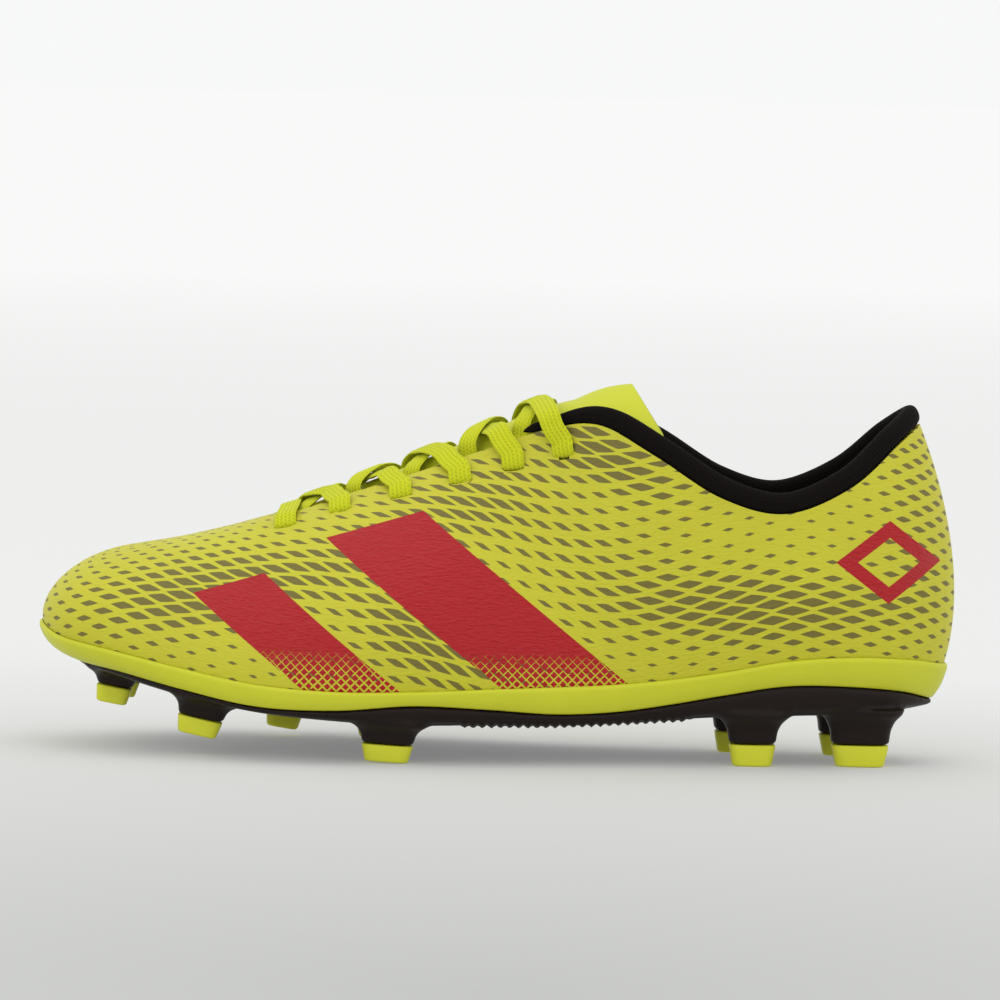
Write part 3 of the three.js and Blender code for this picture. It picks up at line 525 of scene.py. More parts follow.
def thick_sheet(name: str, sheet: Sheet) -> bpy.types.Object:
    """A sheet closed into one solid: its two faces, and a rim along every free edge.

    Args:
        name: the piece's name.
        sheet: the grid, whose points that meet are joined.

    Returns:
        The new object.
    """
    _, first, joined = np.unique(
        np.round(sheet.outer, 3), axis=0, return_index=True, return_inverse=True
    )
    joined = joined.reshape(-1)
    faces = joined[sheet.faces]
    whole = np.array([len(set(face)) == 4 for face in faces.tolist()])
    faces, grid = faces[whole], sheet.faces[whole]
    count = len(first)
    points = np.vstack([sheet.outer[first], sheet.inner[first]])
    directed = {}
    for face, source in zip(faces.tolist(), grid.tolist()):
        for i in range(4):
            directed[(face[i], face[(i + 1) % 4])] = (source[i], source[(i + 1) % 4])
    rim, rim_uv = [], []
    for (a, b), (ua, ub) in directed.items():
        if (b, a) not in directed:
            rim.append([b, a, a + count, b + count])
            rim_uv += [sheet.uv[ub], sheet.uv[ua], sheet.uv[ua], sheet.uv[ub]]
    every = [*faces.tolist(), *(faces[:, ::-1] + count).tolist(), *rim]
    corner_uv = np.vstack([sheet.uv[grid.ravel()], sheet.uv[grid[:, ::-1].ravel()], rim_uv])
    obj = mesh_object(name, points, every, corner_uv)
    if sheet.scales is not None:
        layer = obj.data.attributes.new("scales", "FLOAT_VECTOR", "POINT")
        layer.data.foreach_set("vector", np.tile(sheet.scales[first], (2, 1)).astype(np.float32).ravel())
    sharpen(obj, 50)
    return obj


def ring_body(name: str, rings: np.ndarray, uv: np.ndarray | None = None) -> bpy.types.Object:
    """A solid skinned over rings of equal length, closed by a flat face at each end.

    Args:
        name: the piece's name.
        rings: its rings, as an array of ring, point and x, y, z.
        uv: the UV of each ring point, in millimetres.

    Returns:
        The new object.
    """
    count, size = rings.shape[:2]
    sides = grid_faces(count, size).tolist()
    first = np.arange(count - 1) * size
    seam = np.stack([first + size - 1, first + 2 * size - 1, first + size, first], -1)
    end = list(range(count * size - 1, (count - 1) * size - 1, -1))
    faces = [*sides, *seam.tolist(), list(range(size)), end]
    corner_uv = None
    if uv is not None:
        corner_uv = uv.reshape(-1, 2)[np.concatenate([np.array(face) for face in faces])]
    obj = mesh_object(name, rings.reshape(-1, 3), faces, corner_uv)
    turn_outwards(obj)
    sharpen(obj, 50)
    return obj


def skinned(name: str, rings: list[np.ndarray], with_uv: bool = False) -> bpy.types.Object:
    """A solid skinned over level outlines of the shoe, closed at both ends by strips from side to side.

    Args:
        name: the piece's name.
        rings: its outlines, each from the toe round the lateral side, the heel and the medial side.
        with_uv: True to lay a UV over it as seen from above, in millimetres.

    Returns:
        The new object.
    """
    count, last = len(rings[0]), (len(rings) - 1) * len(rings[0])
    faces = []
    for start in range(0, last, count):
        for i in range(count):
            j = (i + 1) % count
            faces.append([start + i, start + count + i, start + count + j, start + j])
    for i in range(count // 2):
        corners = [i, i + 1, count - i - 1, count - i]
        strip = list(dict.fromkeys(corner % count for corner in corners))
        if len(strip) > 2:
            faces += [strip, [last + corner for corner in reversed(strip)]]
    points = np.vstack(rings)
    corner_uv = points[np.concatenate(faces)][:, :2] if with_uv else None
    obj = mesh_object(name, points, faces, corner_uv)
    turn_outwards(obj)
    return obj


def only(obj: bpy.types.Object) -> None:
    """Selects one object alone and makes it the active one.

    Args:
        obj: the object.
    """
    bpy.ops.object.select_all(action="DESELECT")
    obj.select_set(True)
    bpy.context.view_layer.objects.active = obj


def turn_outwards(obj: bpy.types.Object) -> None:
    """Turns every face of a closed mesh outwards.

    Args:
        obj: the piece.
    """
    only(obj)
    bpy.ops.object.mode_set(mode="EDIT")
    bpy.ops.mesh.select_all(action="SELECT")
    bpy.ops.mesh.normals_make_consistent(inside=False)
    bpy.ops.object.mode_set(mode="OBJECT")


def sharpen(obj: bpy.types.Object, degrees: float) -> None:
    """Smooth shading that keeps edges sharper than an angle."""
    only(obj)
    bpy.ops.object.shade_smooth_by_angle(angle=math.radians(degrees))


def apply_modifier(obj: bpy.types.Object, kind: str, **settings: object) -> None:
    """Adds a modifier with its settings and applies it.

    Args:
        obj: the piece.
        kind: the modifier's type name.
        settings: its own properties.
    """
    only(obj)
    made = obj.modifiers.new(kind.title(), kind)
    for name, value in settings.items():
        setattr(made, name, value)
    bpy.ops.object.modifier_apply(modifier=made.name)


def span(start: float, end: float, step: float) -> np.ndarray:
    """Evenly spaced values with both ends."""
    return np.linspace(start, end, max(2, round((end - start) / step) + 1))


# ---- Finishes --------------------------------------------------------------------------------------


def linear(hex_colour: str) -> tuple[float, float, float, float]:
    """An sRGB hex colour as linear light.

    Args:
        hex_colour: a hash sign and six hex digits.

    Returns:
        Red, green, blue and alpha.
    """
    parts = [int(hex_colour[i : i + 2], 16) / 255 for i in (1, 3, 5)]
    turned = [c / 12.92 if c <= 0.04045 else ((c + 0.055) / 1.055) ** 2.4 for c in parts]
    return (turned[0], turned[1], turned[2], 1.0)


def fill(node: bpy.types.Node, inputs: dict | tuple) -> None:
    """Sets a node's inputs, or links them.

    Args:
        node: the node.
        inputs: by name or in order, a value, a socket, or another node for the first output it uses.
    """
    for key, value in inputs.items() if isinstance(inputs, dict) else enumerate(inputs):
        if isinstance(value, bpy.types.Node):
            value = next(socket for socket in value.outputs if socket.enabled)
        if isinstance(value, bpy.types.NodeSocket):
            node.id_data.links.new(value, node.inputs[key])
        else:
            node.inputs[key].default_value = value


def add_node(
    tree: bpy.types.NodeTree, kind: str, inputs: dict | tuple = (), **settings: object
) -> bpy.types.Node:
    """Adds a node to a tree.

    Args:
        tree: the material's node tree.
        kind: the node's type name, without its ShaderNode prefix.
        inputs: what its inputs are set or linked to, as fill takes them.
        settings: its own properties.

    Returns:
        The new node.
    """
    made = tree.nodes.new("ShaderNode" + kind)
    for name, value in settings.items():
        setattr(made, name, value)
    fill(made, inputs)
    return made


def new_material(name: str) -> tuple[bpy.types.Material, bpy.types.NodeTree, bpy.types.Node]:
    """An empty material.

    Args:
        name: the material's name.

    Returns:
        The material, its tree and its shader.
    """
    made = bpy.data.materials.new(name)
    made.use_nodes = True
    tree = made.node_tree
    tree.nodes.clear()
    shader = add_node(tree, "BsdfPrincipled")
    add_node(tree, "OutputMaterial", {"Surface": shader})
    return made, tree, shader


@dataclass(frozen=True)
class Finish:
    """A plain finish: one colour with a soft mottle and a fine bump."""

    name: str
    colour: str
    shade: str
    roughness: float
    grain_mm: float
    relief_mm: float
    specular: float = 0.5
    sheen: float = 0.0

    mottle = 60.0  # mottle cells in a metre
    uneven = 0.06  # how far the roughness strays

    def material(self) -> bpy.types.Material:
        """The finish as a material that reads Object coordinates.

        Returns:
            The material.
        """
        made, tree, shader = new_material(self.name)
        place = add_node(tree, "TexCoord").outputs["Object"]
        fine = {"Vector": place, "Scale": 1 / (self.grain_mm * MM), "Detail": 3.0}
        grain = add_node(tree, "TexNoise", fine)
        mottle = add_node(tree, "TexNoise", {"Vector": place, "Scale": self.mottle, "Detail": 2.0})
        tints = {"Factor": mottle, "A": linear(self.colour), "B": linear(self.shade)}
        low, high = self.roughness - self.uneven, self.roughness + self.uneven
        pressed = {"Height": grain, "Distance": self.relief_mm * MM, "Strength": 0.6}
        fill(shader, {
            "Base Color": add_node(tree, "Mix", tints, data_type="RGBA"),
            "Roughness": add_node(tree, "MapRange", {"Value": grain, "To Min": low, "To Max": high}),
            "Normal": add_node(tree, "Bump", pressed),
            "Specular IOR Level": self.specular,
            "Sheen Weight": self.sheen,
        })
        return made


@dataclass(frozen=True)
class Band:
    """One slanted band, by the place of its middle, half its width and its top, in millimetres."""

    middle: float
    half: float
    top: float


@dataclass(frozen=True)
class PrintedUpper:
    """Embossed synthetic leather with printed scales and red bands under a clear gloss."""

    name: str = "synthetic_leather_embossed_printed"
    ground: str = "#C9C630"
    ground_shade: str = "#C0BA2B"
    mottle: float = 45.0  # mottle cells in a metre
    scales: str = "#736A2E"
    scale_corner: float = 0.34  # how much a scale's upper and lower corners are rounded
    red: str = "#B0121A"
    bands: tuple = (Band(-15.0, 15.0, 78.5), Band(53.0, 20.5, 84.0))
    slant: float = 1.25  # of the bands: how far they go forwards for each millimetre down
    top_slope: float = 0.3  # of the bands' upper ends
    dot_pitch: float = 2.0  # of the bands' dotted fade
    dot_gap: float = 0.14  # between the dots at the fade's foot, as a share of their pitch
    fade: tuple[float, float] = (25.0, 35.0)  # where the dots end and begin, up from the ground
    heel_mark: tuple[float, float] = (121.0, 64.5)  # its middle, x and z in the row frame
    mark_size: tuple[float, float] = (17.0, 13.0)
    mark_ring: tuple[float, float] = (0.78, 0.2)  # its middle line and half its width, as shares
    roughness: tuple[float, float] = (0.5, 0.3)  # of the ground and of the red film
    emboss: tuple[float, float] = (0.32, 0.85)  # how deep it looks in each
    streak: tuple[float, float, float] = (0.45, 1.5, 1.0)  # stretches the emboss along the shoe

    def material(self) -> bpy.types.Material:
        """The print as a material that reads the UV, the scales and Object coordinates.

        Returns:
            The material.
        """
        made, tree, shader = new_material(self.name)
        place = add_node(tree, "TexCoord").outputs["Object"]
        red = self._red(tree, place)
        mottle = add_node(tree, "TexNoise", {"Vector": place, "Scale": self.mottle, "Detail": 4.0})
        clear = add_node(tree, "Math", (1.0, red), operation="SUBTRACT")
        shown = add_node(tree, "Math", (self._scales(tree), clear), operation="MULTIPLY")
        colour = linear(self.ground)
        for share, tint in ((mottle, self.ground_shade), (shown, self.scales), (red, self.red)):
            mixed = {"Factor": share, "A": colour, "B": linear(tint)}
            colour = add_node(tree, "Mix", mixed, data_type="RGBA")
        ground, film = self.roughness
        fill(shader, {
            "Base Color": colour,
            "Roughness": add_node(tree, "MapRange", {"Value": red, "To Min": ground, "To Max": film}),
            "Normal": self._relief(tree, red),
            "Specular IOR Level": 0.3,
        })
        return made

    def _scales(self, tree: bpy.types.NodeTree) -> bpy.types.Node:
        """Leaf shapes on a lattice, rounded above and below, as large as the piece tells.

        Args:
            tree: the material's node tree.

        Returns:
            A node that gives 1 inside a scale.
        """
        lattice = add_node(tree, "Attribute", attribute_name="scales").outputs["Vector"]
        parts = add_node(tree, "SeparateXYZ", (lattice,)).outputs
        offsets = []
        for name in ("X", "Y"):
            moved = add_node(tree, "Math", (parts[name], 0.5), operation="ADD")
            share = add_node(tree, "Math", (moved,), operation="FRACT")
            offsets.append(add_node(tree, "Math", (share, 0.5), operation="SUBTRACT"))
        spans = [add_node(tree, "Math", (value,), operation="ABSOLUTE") for value in offsets]
        reach = add_node(tree, "Math", tuple(spans), operation="MAXIMUM")
        up = add_node(tree, "Math", tuple(offsets), operation="SUBTRACT")
        square = add_node(tree, "Math", (up, up), operation="MULTIPLY")
        rounded = add_node(tree, "Math", (square, self.scale_corner, reach), operation="MULTIPLY_ADD")
        half = add_node(tree, "Math", (parts["Z"], 0.5), operation="MULTIPLY")
        return add_node(tree, "Math", (rounded, half), operation="LESS_THAN")

    def _red(self, tree: bpy.types.NodeTree, place: bpy.types.NodeSocket) -> bpy.types.Node:
        """The two slanted bands, which break into dots at their feet, and the heel mark.

        Args:
            tree: the material's node tree.
            place: the Object coordinates.

        Returns:
            A node that gives 1 in them.
        """
        slanted = (1 / MM, 0.0, self.slant / MM)
        along = add_node(tree, "VectorMath", (place, slanted), operation="DOT_PRODUCT")
        level = (-self.top_slope / MM, 0.0, 1 / MM)
        over = add_node(tree, "VectorMath", (place, level), operation="DOT_PRODUCT")
        bands = []
        for band in self.bands:
            inside = add_node(tree, "Math", (along, band.middle, band.half), operation="COMPARE")
            below = add_node(tree, "Math", (over, band.top), operation="LESS_THAN")
            bands.append(add_node(tree, "Math", (inside, below), operation="MULTIPLY"))
        both = add_node(tree, "Math", tuple(bands), operation="MAXIMUM")
        step = math.sqrt(0.5) / (self.dot_pitch * MM)
        lines = []
        for way in ((step, 0.0, step), (step, 0.0, -step)):
            turned = add_node(tree, "VectorMath", (place, way), operation="DOT_PRODUCT")
            lines.append(add_node(tree, "Math", (turned, 0.5), operation="PINGPONG"))
        near = add_node(tree, "Math", tuple(lines), operation="MINIMUM")
        low, high = self.fade
        height = add_node(tree, "SeparateXYZ", (place,)).outputs["Z"]
        ramp = {"Value": height, "From Min": low * MM, "From Max": high * MM, "To Min": self.dot_gap}
        fade = add_node(tree, "MapRange", {**ramp, "To Max": 0.0})
        kept = add_node(tree, "Math", (near, fade), operation="GREATER_THAN")
        dotted = add_node(tree, "Math", (both, kept), operation="MULTIPLY")
        return add_node(tree, "Math", (dotted, self._heel_mark(tree, place)), operation="MAXIMUM")

    def _heel_mark(self, tree: bpy.types.NodeTree, place: bpy.types.NodeSocket) -> bpy.types.Node:
        """A plain rhombus ring on the side of the heel.

        Args:
            tree: the material's node tree.
            place: the Object coordinates.

        Returns:
            A node that gives 1 in it.
        """
        x, z = self.heel_mark
        wide, tall = self.mark_size
        centred = add_node(tree, "VectorMath", (place, (x * MM, 0.0, z * MM)), operation="SUBTRACT")
        spans = []
        for way in (1, -1):
            slope = (1 / (wide * MM), 0.0, way / (tall * MM))
            over = add_node(tree, "VectorMath", (centred, slope), operation="DOT_PRODUCT")
            spans.append(add_node(tree, "Math", (over,), operation="ABSOLUTE"))
        reach = add_node(tree, "Math", tuple(spans), operation="MAXIMUM")
        return add_node(tree, "Math", (reach, *self.mark_ring), operation="COMPARE")

    def _relief(self, tree: bpy.types.NodeTree, red: bpy.types.Node) -> bpy.types.Node:
        """A pebbled emboss in level streaks, with the red film standing a little proud.

        Args:
            tree: the material's node tree.
            red: a node that gives 1 in the red film.

        Returns:
            The bump node.
        """
        cloth = add_node(tree, "UVMap", uv_map="Cloth")
        stretched = add_node(tree, "VectorMath", (cloth, self.streak), operation="MULTIPLY")
        worn = {"Vector": stretched, "Scale": 0.75, "Detail": 4.0, "Roughness": 0.62}
        streaks = add_node(tree, "TexNoise", worn)
        pebbles = add_node(tree, "TexVoronoi", {"Vector": stretched, "Scale": 0.9})
        height = add_node(tree, "Math", (pebbles, 0.45, streaks), operation="MULTIPLY_ADD")
        film = add_node(tree, "Math", (red, 0.35, height), operation="MULTIPLY_ADD")
        low, high = self.emboss
        depth = add_node(tree, "MapRange", {"Value": red, "To Min": low * MM, "To Max": high * MM})
        return add_node(tree, "Bump", {"Height": film, "Distance": depth, "Strength": 0.85})


@dataclass(frozen=True)
class Woven:
    """A textile seen by its threads, which follow the piece's own UV in millimetres, with painted shade:
    darker in the gaps between the threads and lighter on their tops.
    """

    name: str
    colour: str
    # shade is the colour painted into the gaps between the threads, as painted shade.
    shade: str
    thread: tuple[float, float]  # pitch along and across
    relief_mm: float
    roughness: float = 0.85
    sheen: float = 0.25
    chevron: float = 0.0

    def material(self) -> bpy.types.Material:
        """The weave as a material.

        Returns:
            The material.
        """
        made, tree, shader = new_material(self.name)
        cloth = add_node(tree, "UVMap", uv_map="Cloth")
        parts = add_node(tree, "SeparateXYZ", (cloth,)).outputs
        folded = add_node(tree, "Math", (parts["Y"], self.thread[1]), operation="PINGPONG")
        leaned = add_node(tree, "Math", (folded, self.chevron, parts["X"]), operation="MULTIPLY_ADD")
        waves = []
        for source, pitch in zip((leaned, parts["Y"]), self.thread):
            turned = add_node(tree, "Math", (source, 2 * math.pi / pitch), operation="MULTIPLY")
            waves.append(add_node(tree, "Math", (turned,), operation="SINE"))
        knit = add_node(tree, "Math", tuple(waves), operation="MAXIMUM")
        fuzz = add_node(tree, "TexNoise", {"Vector": cloth, "Scale": 2.2, "Detail": 3.0})
        height = add_node(tree, "Math", (fuzz, 0.9, knit), operation="MULTIPLY_ADD")
        # Painted shade: the colour runs from the shade in the gaps up to the full colour on the threads'
        # tops, by their height.
        lit = add_node(tree, "MapRange", {"Value": height, "From Min": -0.6, "From Max": 1.6})
        tints = {"Factor": lit, "A": linear(self.shade), "B": linear(self.colour)}
        raised = {"Height": height, "Distance": self.relief_mm * MM, "Strength": 0.8}
        fill(shader, {
            "Base Color": add_node(tree, "Mix", tints, data_type="RGBA"),
            "Normal": add_node(tree, "Bump", raised),
            "Roughness": self.roughness,
            "Sheen Weight": self.sheen,
            "Specular IOR Level": 0.12,
        })
        return made


# Printed and embossed synthetic leather: pebbled, half matt, with smoother film where it is red.
PRINTED = PrintedUpper()
# Moulded thermoplastic: satin, with the faint orange peel of a spark-eroded mould.
BAND_PLASTIC = Finish("tpu_moulded_satin_yellow", "#CDD031", "#C5C82D", 0.45, 0.5, 0.03, 0.25)
# The same, dyed nearly black: its sheen alone shows its edges.
PLATE_PLASTIC = Finish("tpu_moulded_black_brown", "#1F1512", "#19110E", 0.42, 0.6, 0.04, 0.16)
# The studs' second shot: a little brighter and smoother than the band.
TIP_PLASTIC = Finish("tpu_moulded_stud_tip", "#D6D837", "#CED133", 0.42, 0.5, 0.03, 0.25)
# Smooth synthetic leather: an even skin with a soft highlight.
TONGUE_SKIN = Finish("synthetic_leather_smooth", "#C9CE2F", "#C2C72B", 0.5, 0.45, 0.05, 0.25)
# Brushed microfibre: dull, with a pale fuzz at its edges.
RED_BACKING = Finish("microfibre_red", "#B3242A", "#9E1F25", 0.85, 0.3, 0.08, 0.2, 0.2)
# Pressed stiffener: bone-coloured and dull.
STIFF_BOARD = Finish("thermoformed_stiffener", "#D8D4C8", "#CBC6B8", 0.75, 0.8, 0.06)
# Cellulose board: buff, dry and slightly rough.
FIBRE_BOARD = Finish("cellulose_board", "#C9BFA6", "#B8AD92", 0.9, 0.6, 0.1)
# Open-cell foam: dark grey, pitted, without a highlight.
FOAM = Finish("open_cell_foam", "#4A4A4C", "#38383A", 0.95, 0.7, 0.2)
# Rolled acetate film: hard and glossy.
AGLET_FILM = Finish("acetate_film", "#C9D85A", "#BFCE50", 0.18, 1.5, 0.01)
# Warp-knitted tricot: nearly black, with fine ribs and no highlight.
COLLAR_TEXTILE = Woven("polyester_tricot_black", "#120D0B", "#0A0706", (1.1, 0.9), 0.1, 0.95, 0.0)
# Spacer mesh: open holes between dark threads, with painted shade in the holes, drawn coarse enough to
# show.
LINING_MESH = Woven("spacer_mesh_black", "#120D0C", "#080505", (1.8, 1.5), 0.25, 0.95, 0.02)
# Plain woven insole cover: dark, with a square grain.
INSOLE_CLOTH = Woven("insole_cover_cloth", "#26211F", "#171312", (0.9, 0.9), 0.1)
# Flat braid: chevrons of thread that meet at the ribs, with shaded gaps.
LACE_WEAVE = Woven("polyester_flat_braid", "#CDD223", "#AEB81B", (1.15, 1.3), 0.11, 0.75, 0.05, 0.8)

MATERIALS: dict[Finish | PrintedUpper | Woven, bpy.types.Material] = {}


def dress(
    obj: bpy.types.Object, finish: Finish | PrintedUpper | Woven, body: str | None = "boot"
) -> None:
    """Gives a piece its material and the body it rides on.

    Args:
        obj: the piece.
        finish: what it is made of.
        body: the moving body, or None to leave the piece on no body.
    """
    if finish not in MATERIALS:
        MATERIALS[finish] = finish.material()
    obj.data.materials.clear()
    obj.data.materials.append(MATERIALS[finish])
    if body is not None:
        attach(obj, body)
    LOG.info("%s: %d faces, %s", obj.name, len(obj.data.polygons), finish.name)


# ---- Upper and its layers --------------------------------------------------------------------------


@dataclass(frozen=True)
class ScalePatch:
    """A place where the printed scales grow, in the side view of the row frame."""

    x: float
    z: float
    half_length: float
    half_height: float
    growth: float
    lean: float = 0.0  # rise for each millimetre towards the heel


@dataclass
class Upper:
    """The one-piece upper with its eyelets, and the layers that back it."""

    column_step: float = 0.05  # in stations
    rows: int = 62
    eyelets: tuple = (4.28, 4.96, 5.77, 6.57, 7.38, 8.3)
    eyelet_setback: float = 9.5
    eyelet_half: tuple = (3.9, 1.2)  # along the facing and down from it
    scale_rate: tuple = (0.08, 0.2)  # scales for each millimetre round the shoe, and up the wall
    smallest_scale: float = 0.25
    largest_scale: float = 0.92
    lining_setback: float = 5.0
    lining_join: float = 4.5
    foam: float = 3.2
    foam_front: float = 9.5
    patches: tuple = (
        ScalePatch(-90, 51, 40, 12, 0.64, 0.16),
        ScalePatch(-20, 41, 24, 17, 0.64, -0.3),
        ScalePatch(80, 50, 54, 12, 0.62, 0.0),
        ScalePatch(34, 95, 24, 10, 0.6, -0.45),
        ScalePatch(-18, 77, 42, 12, 0.4, 0.4),
        ScalePatch(18, 70, 34, 15, 0.27, -0.2),
        ScalePatch(131, 82, 13, 34, 0.32, 0.0),
    )

    def build(self) -> None:
        """Makes the upper and its linings, and dresses the red eyelet backing and the other layers."""
        shell = self.grid(0, UPPER_THICKNESS, with_scales=True)
        obj = thick_sheet("upper", self.pierced(shell))
        dress(obj, PRINTED)
        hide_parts("upper_shell")
        self._linings()
        for name, finish, slot in (
            ("eyestay_backer_lateral", RED_BACKING, "eyestay"),
            ("eyestay_backer_medial", RED_BACKING, "eyestay"),
            ("toe_puff", STIFF_BOARD, "stiffener"),
            ("heel_counter", STIFF_BOARD, "stiffener"),
            ("collar_foam", FOAM, "foam"),
            ("lasting_board", FIBRE_BOARD, "board"),
            ("heel_wedge", FOAM, "foam"),
        ):
            dress(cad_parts[name], finish)

    def columns(self, start: float, end: float) -> np.ndarray:
        """Places round the shoe, with the throat's quick front resolved.

        Args:
            start: the first place.
            end: the last place.

        Returns:
            The places, in rising order.
        """
        even = span(start, end, self.column_step)
        front = THROAT + np.array([0.005, 0.015, 0.03])
        extra = [place for place in (*front, *(ROUND - front)) if start < place < end]
        return np.unique(np.concatenate([even, extra]))

    def grid(self, outer_depth: float, inner_depth: float, with_scales: bool = False) -> Sheet:
        """The whole upper as two halves that meet at the toe and the heel.

        Args:
            outer_depth: of its outer face.
            inner_depth: of its inner face.
            with_scales: True to lay the printed scales over it.

        Returns:
            The grid.
        """
        levels = 1 - (1 - np.linspace(0, 1, self.rows)) ** 1.15
        halves = []
        for start, end, sign in ((0, HEEL, 1), (HEEL, ROUND, -1)):
            us = self.columns(start, end)
            halves.append(self.patch(us, levels, outer_depth, inner_depth, sign, with_scales))
        return Sheet.joined(halves)

    def patch(
        self,
        us: np.ndarray,
        levels: np.ndarray,
        outer_depth: float | np.ndarray,
        inner_depth: float | np.ndarray,
        sign: int,
        with_scales: bool = False,
    ) -> Sheet:
        """A grid over some columns.

        Args:
            us: its columns.
            levels: its rows, the same for each column or one list for each.
            outer_depth: of its outer face, a number or one for each point.
            inner_depth: of its inner face.
            sign: 1 on the lateral side and -1 on the medial side, for the print.
            with_scales: True to lay the printed scales over it.

        Returns:
            The grid.
        """
        v = np.broadcast_to(levels, (len(us), np.shape(levels)[-1]))
        u = np.broadcast_to(us[:, None], v.shape)
        depth = np.broadcast_to(outer_depth, v.shape)
        under = np.broadcast_to(inner_depth, v.shape)
        outer = LAST.inside(u, v, depth)
        inner = LAST.inside(u, v, under)
        middle = LAST.wall(us, np.full(len(us), 0.35))
        steps = np.linalg.norm(np.diff(middle, axis=0), axis=-1)
        around = np.concatenate([[0], np.cumsum(steps)])
        if sign < 0:
            around = around - around[-1]
        rise = np.linalg.norm(np.diff(outer, axis=1), axis=-1)
        height = np.concatenate([np.zeros((len(us), 1)), np.cumsum(rise, axis=1)], axis=1)
        uv = np.stack([np.broadcast_to(around[:, None], v.shape), height], -1)
        scales = None
        if with_scales:
            along, turn = self.scale_run(LAST.station(us))
            along, turn = along[:, None] + 0 * height, turn[:, None] + 0 * height
            size = self.scale_size(outer.reshape(-1, 3))
            pitch, rise = self.scale_rate
            rising = pitch * along + rise * height + 0.093 * turn
            falling = pitch * along - rise * height - 0.1 * turn
            scales = np.stack([rising.ravel(), falling.ravel(), size], -1)
        return Sheet(
            outer.reshape(-1, 3),
            inner.reshape(-1, 3),
            grid_faces(*v.shape),
            uv.reshape(-1, 2),
            scales,
        )

    def scale_run(self, k: np.ndarray) -> tuple[np.ndarray, np.ndarray]:
        """The way round from the toe, and how much of it the rows of scales lean back over.

        Args:
            k: stations.

        Returns:
            Both ways, at each station.
        """
        stations = np.linspace(0, HEEL, 301)
        places = LAST.wall(stations, np.full(301, 0.35))
        steps = np.linalg.norm(np.diff(places, axis=0), axis=-1)
        along = np.concatenate([[0], np.cumsum(steps)])
        leaning = smooth(along, 75, 115) * (1 - smooth(along, 185, 235))
        turn = np.concatenate([[0], np.cumsum(steps * leaning[1:])])
        return np.interp(k, stations, along), np.interp(k, stations, turn)

    def scale_size(self, points: np.ndarray) -> np.ndarray:
        """How large the printed scales are at some points, as a share of their pitch.

        Args:
            points: points of the outer face.

        Returns:
            The size at each.
        """
        size = np.full(len(points), self.smallest_scale)
        x, z = points[:, 0] + LAST_ORIGIN[0], points[:, 2]
        for patch in self.patches:
            level = z - patch.z - patch.lean * (x - patch.x)
            away = ((x - patch.x) / patch.half_length) ** 2 + (level / patch.half_height) ** 2
            size += patch.growth * np.exp(-(away**1.3))
        return np.minimum(size, self.largest_scale)

    def pierced(self, sheet: Sheet) -> Sheet:
        """The grid with a slot cut for the lace at each eyelet.

        Args:
            sheet: the whole grid, whose rims round the slots are moved.

        Returns:
            A grid without the faces in the slots.
        """
        faces = sheet.faces
        long, short = self.eyelet_half
        for side in Side:
            for k in self.eyelets:
                u = side.round(k)
                v = LAST.from_top(np.array([u]), np.array([self.eyelet_setback]))[0]
                centre = LAST.wall(u, v)
                out = LAST.normal(u, v)
                down = unit(LAST.wall(u, v - 0.01) - centre)
                along = unit(np.cross(out, down))
                away = sheet.outer - centre
                a, d = away @ along / long, away @ down / short
                far = np.hypot(a, d)
                near = np.abs(away @ out) < 6
                cut = (near & (far < 1.0))[faces].sum(axis=1) >= 3
                rim = np.intersect1d(faces[cut], faces[~cut])
                push = (1 / np.maximum(far[rim], 0.3) - 1)[:, None]
                shift = (np.outer(a[rim] * long, along) + np.outer(d[rim] * short, down)) * push
                sheet.outer[rim] += shift
                sheet.inner[rim] += shift
                faces = faces[~cut]
        return Sheet(sheet.outer, sheet.inner, faces, sheet.uv, sheet.scales)

    def _padding(self, u: np.ndarray, v: np.ndarray) -> np.ndarray:
        """How thick the collar's foam is behind the lining."""
        starts = smooth(LAST.station(u), self.foam_front, self.foam_front + 1.5)
        return self.foam * starts * smooth(v, 0.54, 0.82) * (1 - 0.4 * smooth(v, 0.82, 1))

    def _linings(self) -> None:
        """The vamp lining, and the quarter lining that goes round the heel in one piece."""
        vamp = [
            self._lining_patch(0, self.lining_join, 1),
            self._lining_patch(ROUND - self.lining_join, ROUND, -1),
        ]
        quarter = [
            self._lining_patch(self.lining_join + 0.02, HEEL, 1),
            self._lining_patch(HEEL, ROUND - self.lining_join - 0.02, -1),
        ]
        for name, halves, slender in (
            ("vamp_lining_mesh", vamp, 0.7),
            ("quarter_lining_mesh", quarter, 0.25),
        ):
            joined = Sheet.joined(halves)
            obj = thick_sheet(name, joined)
            dress(obj, LINING_MESH)
            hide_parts(name.removesuffix("_mesh"))

    def _lining_patch(self, start: float, end: float, sign: int) -> Sheet:
        """One half of a lining, from just above the board to its top edge.

        Args:
            start: its first place round the shoe.
            end: its last place.
            sign: 1 on the lateral side and -1 on the medial side.

        Returns:
            The grid.
        """
        us = span(start, end, 0.1)
        setback = self.lining_setback + (0.2 - self.lining_setback) * smooth(LAST.station(us), 9, 10)
        top = np.where(LAST.station(us) > THROAT, LAST.from_top(us, setback), 1.0)
        levels = 0.06 + np.linspace(0, 1, 40)[None, :] * (top - 0.06)[:, None]
        depth = LINING_DEPTH + self._padding(us[:, None], levels)
        return self.patch(us, levels, depth, depth + LINING_THICKNESS, sign)


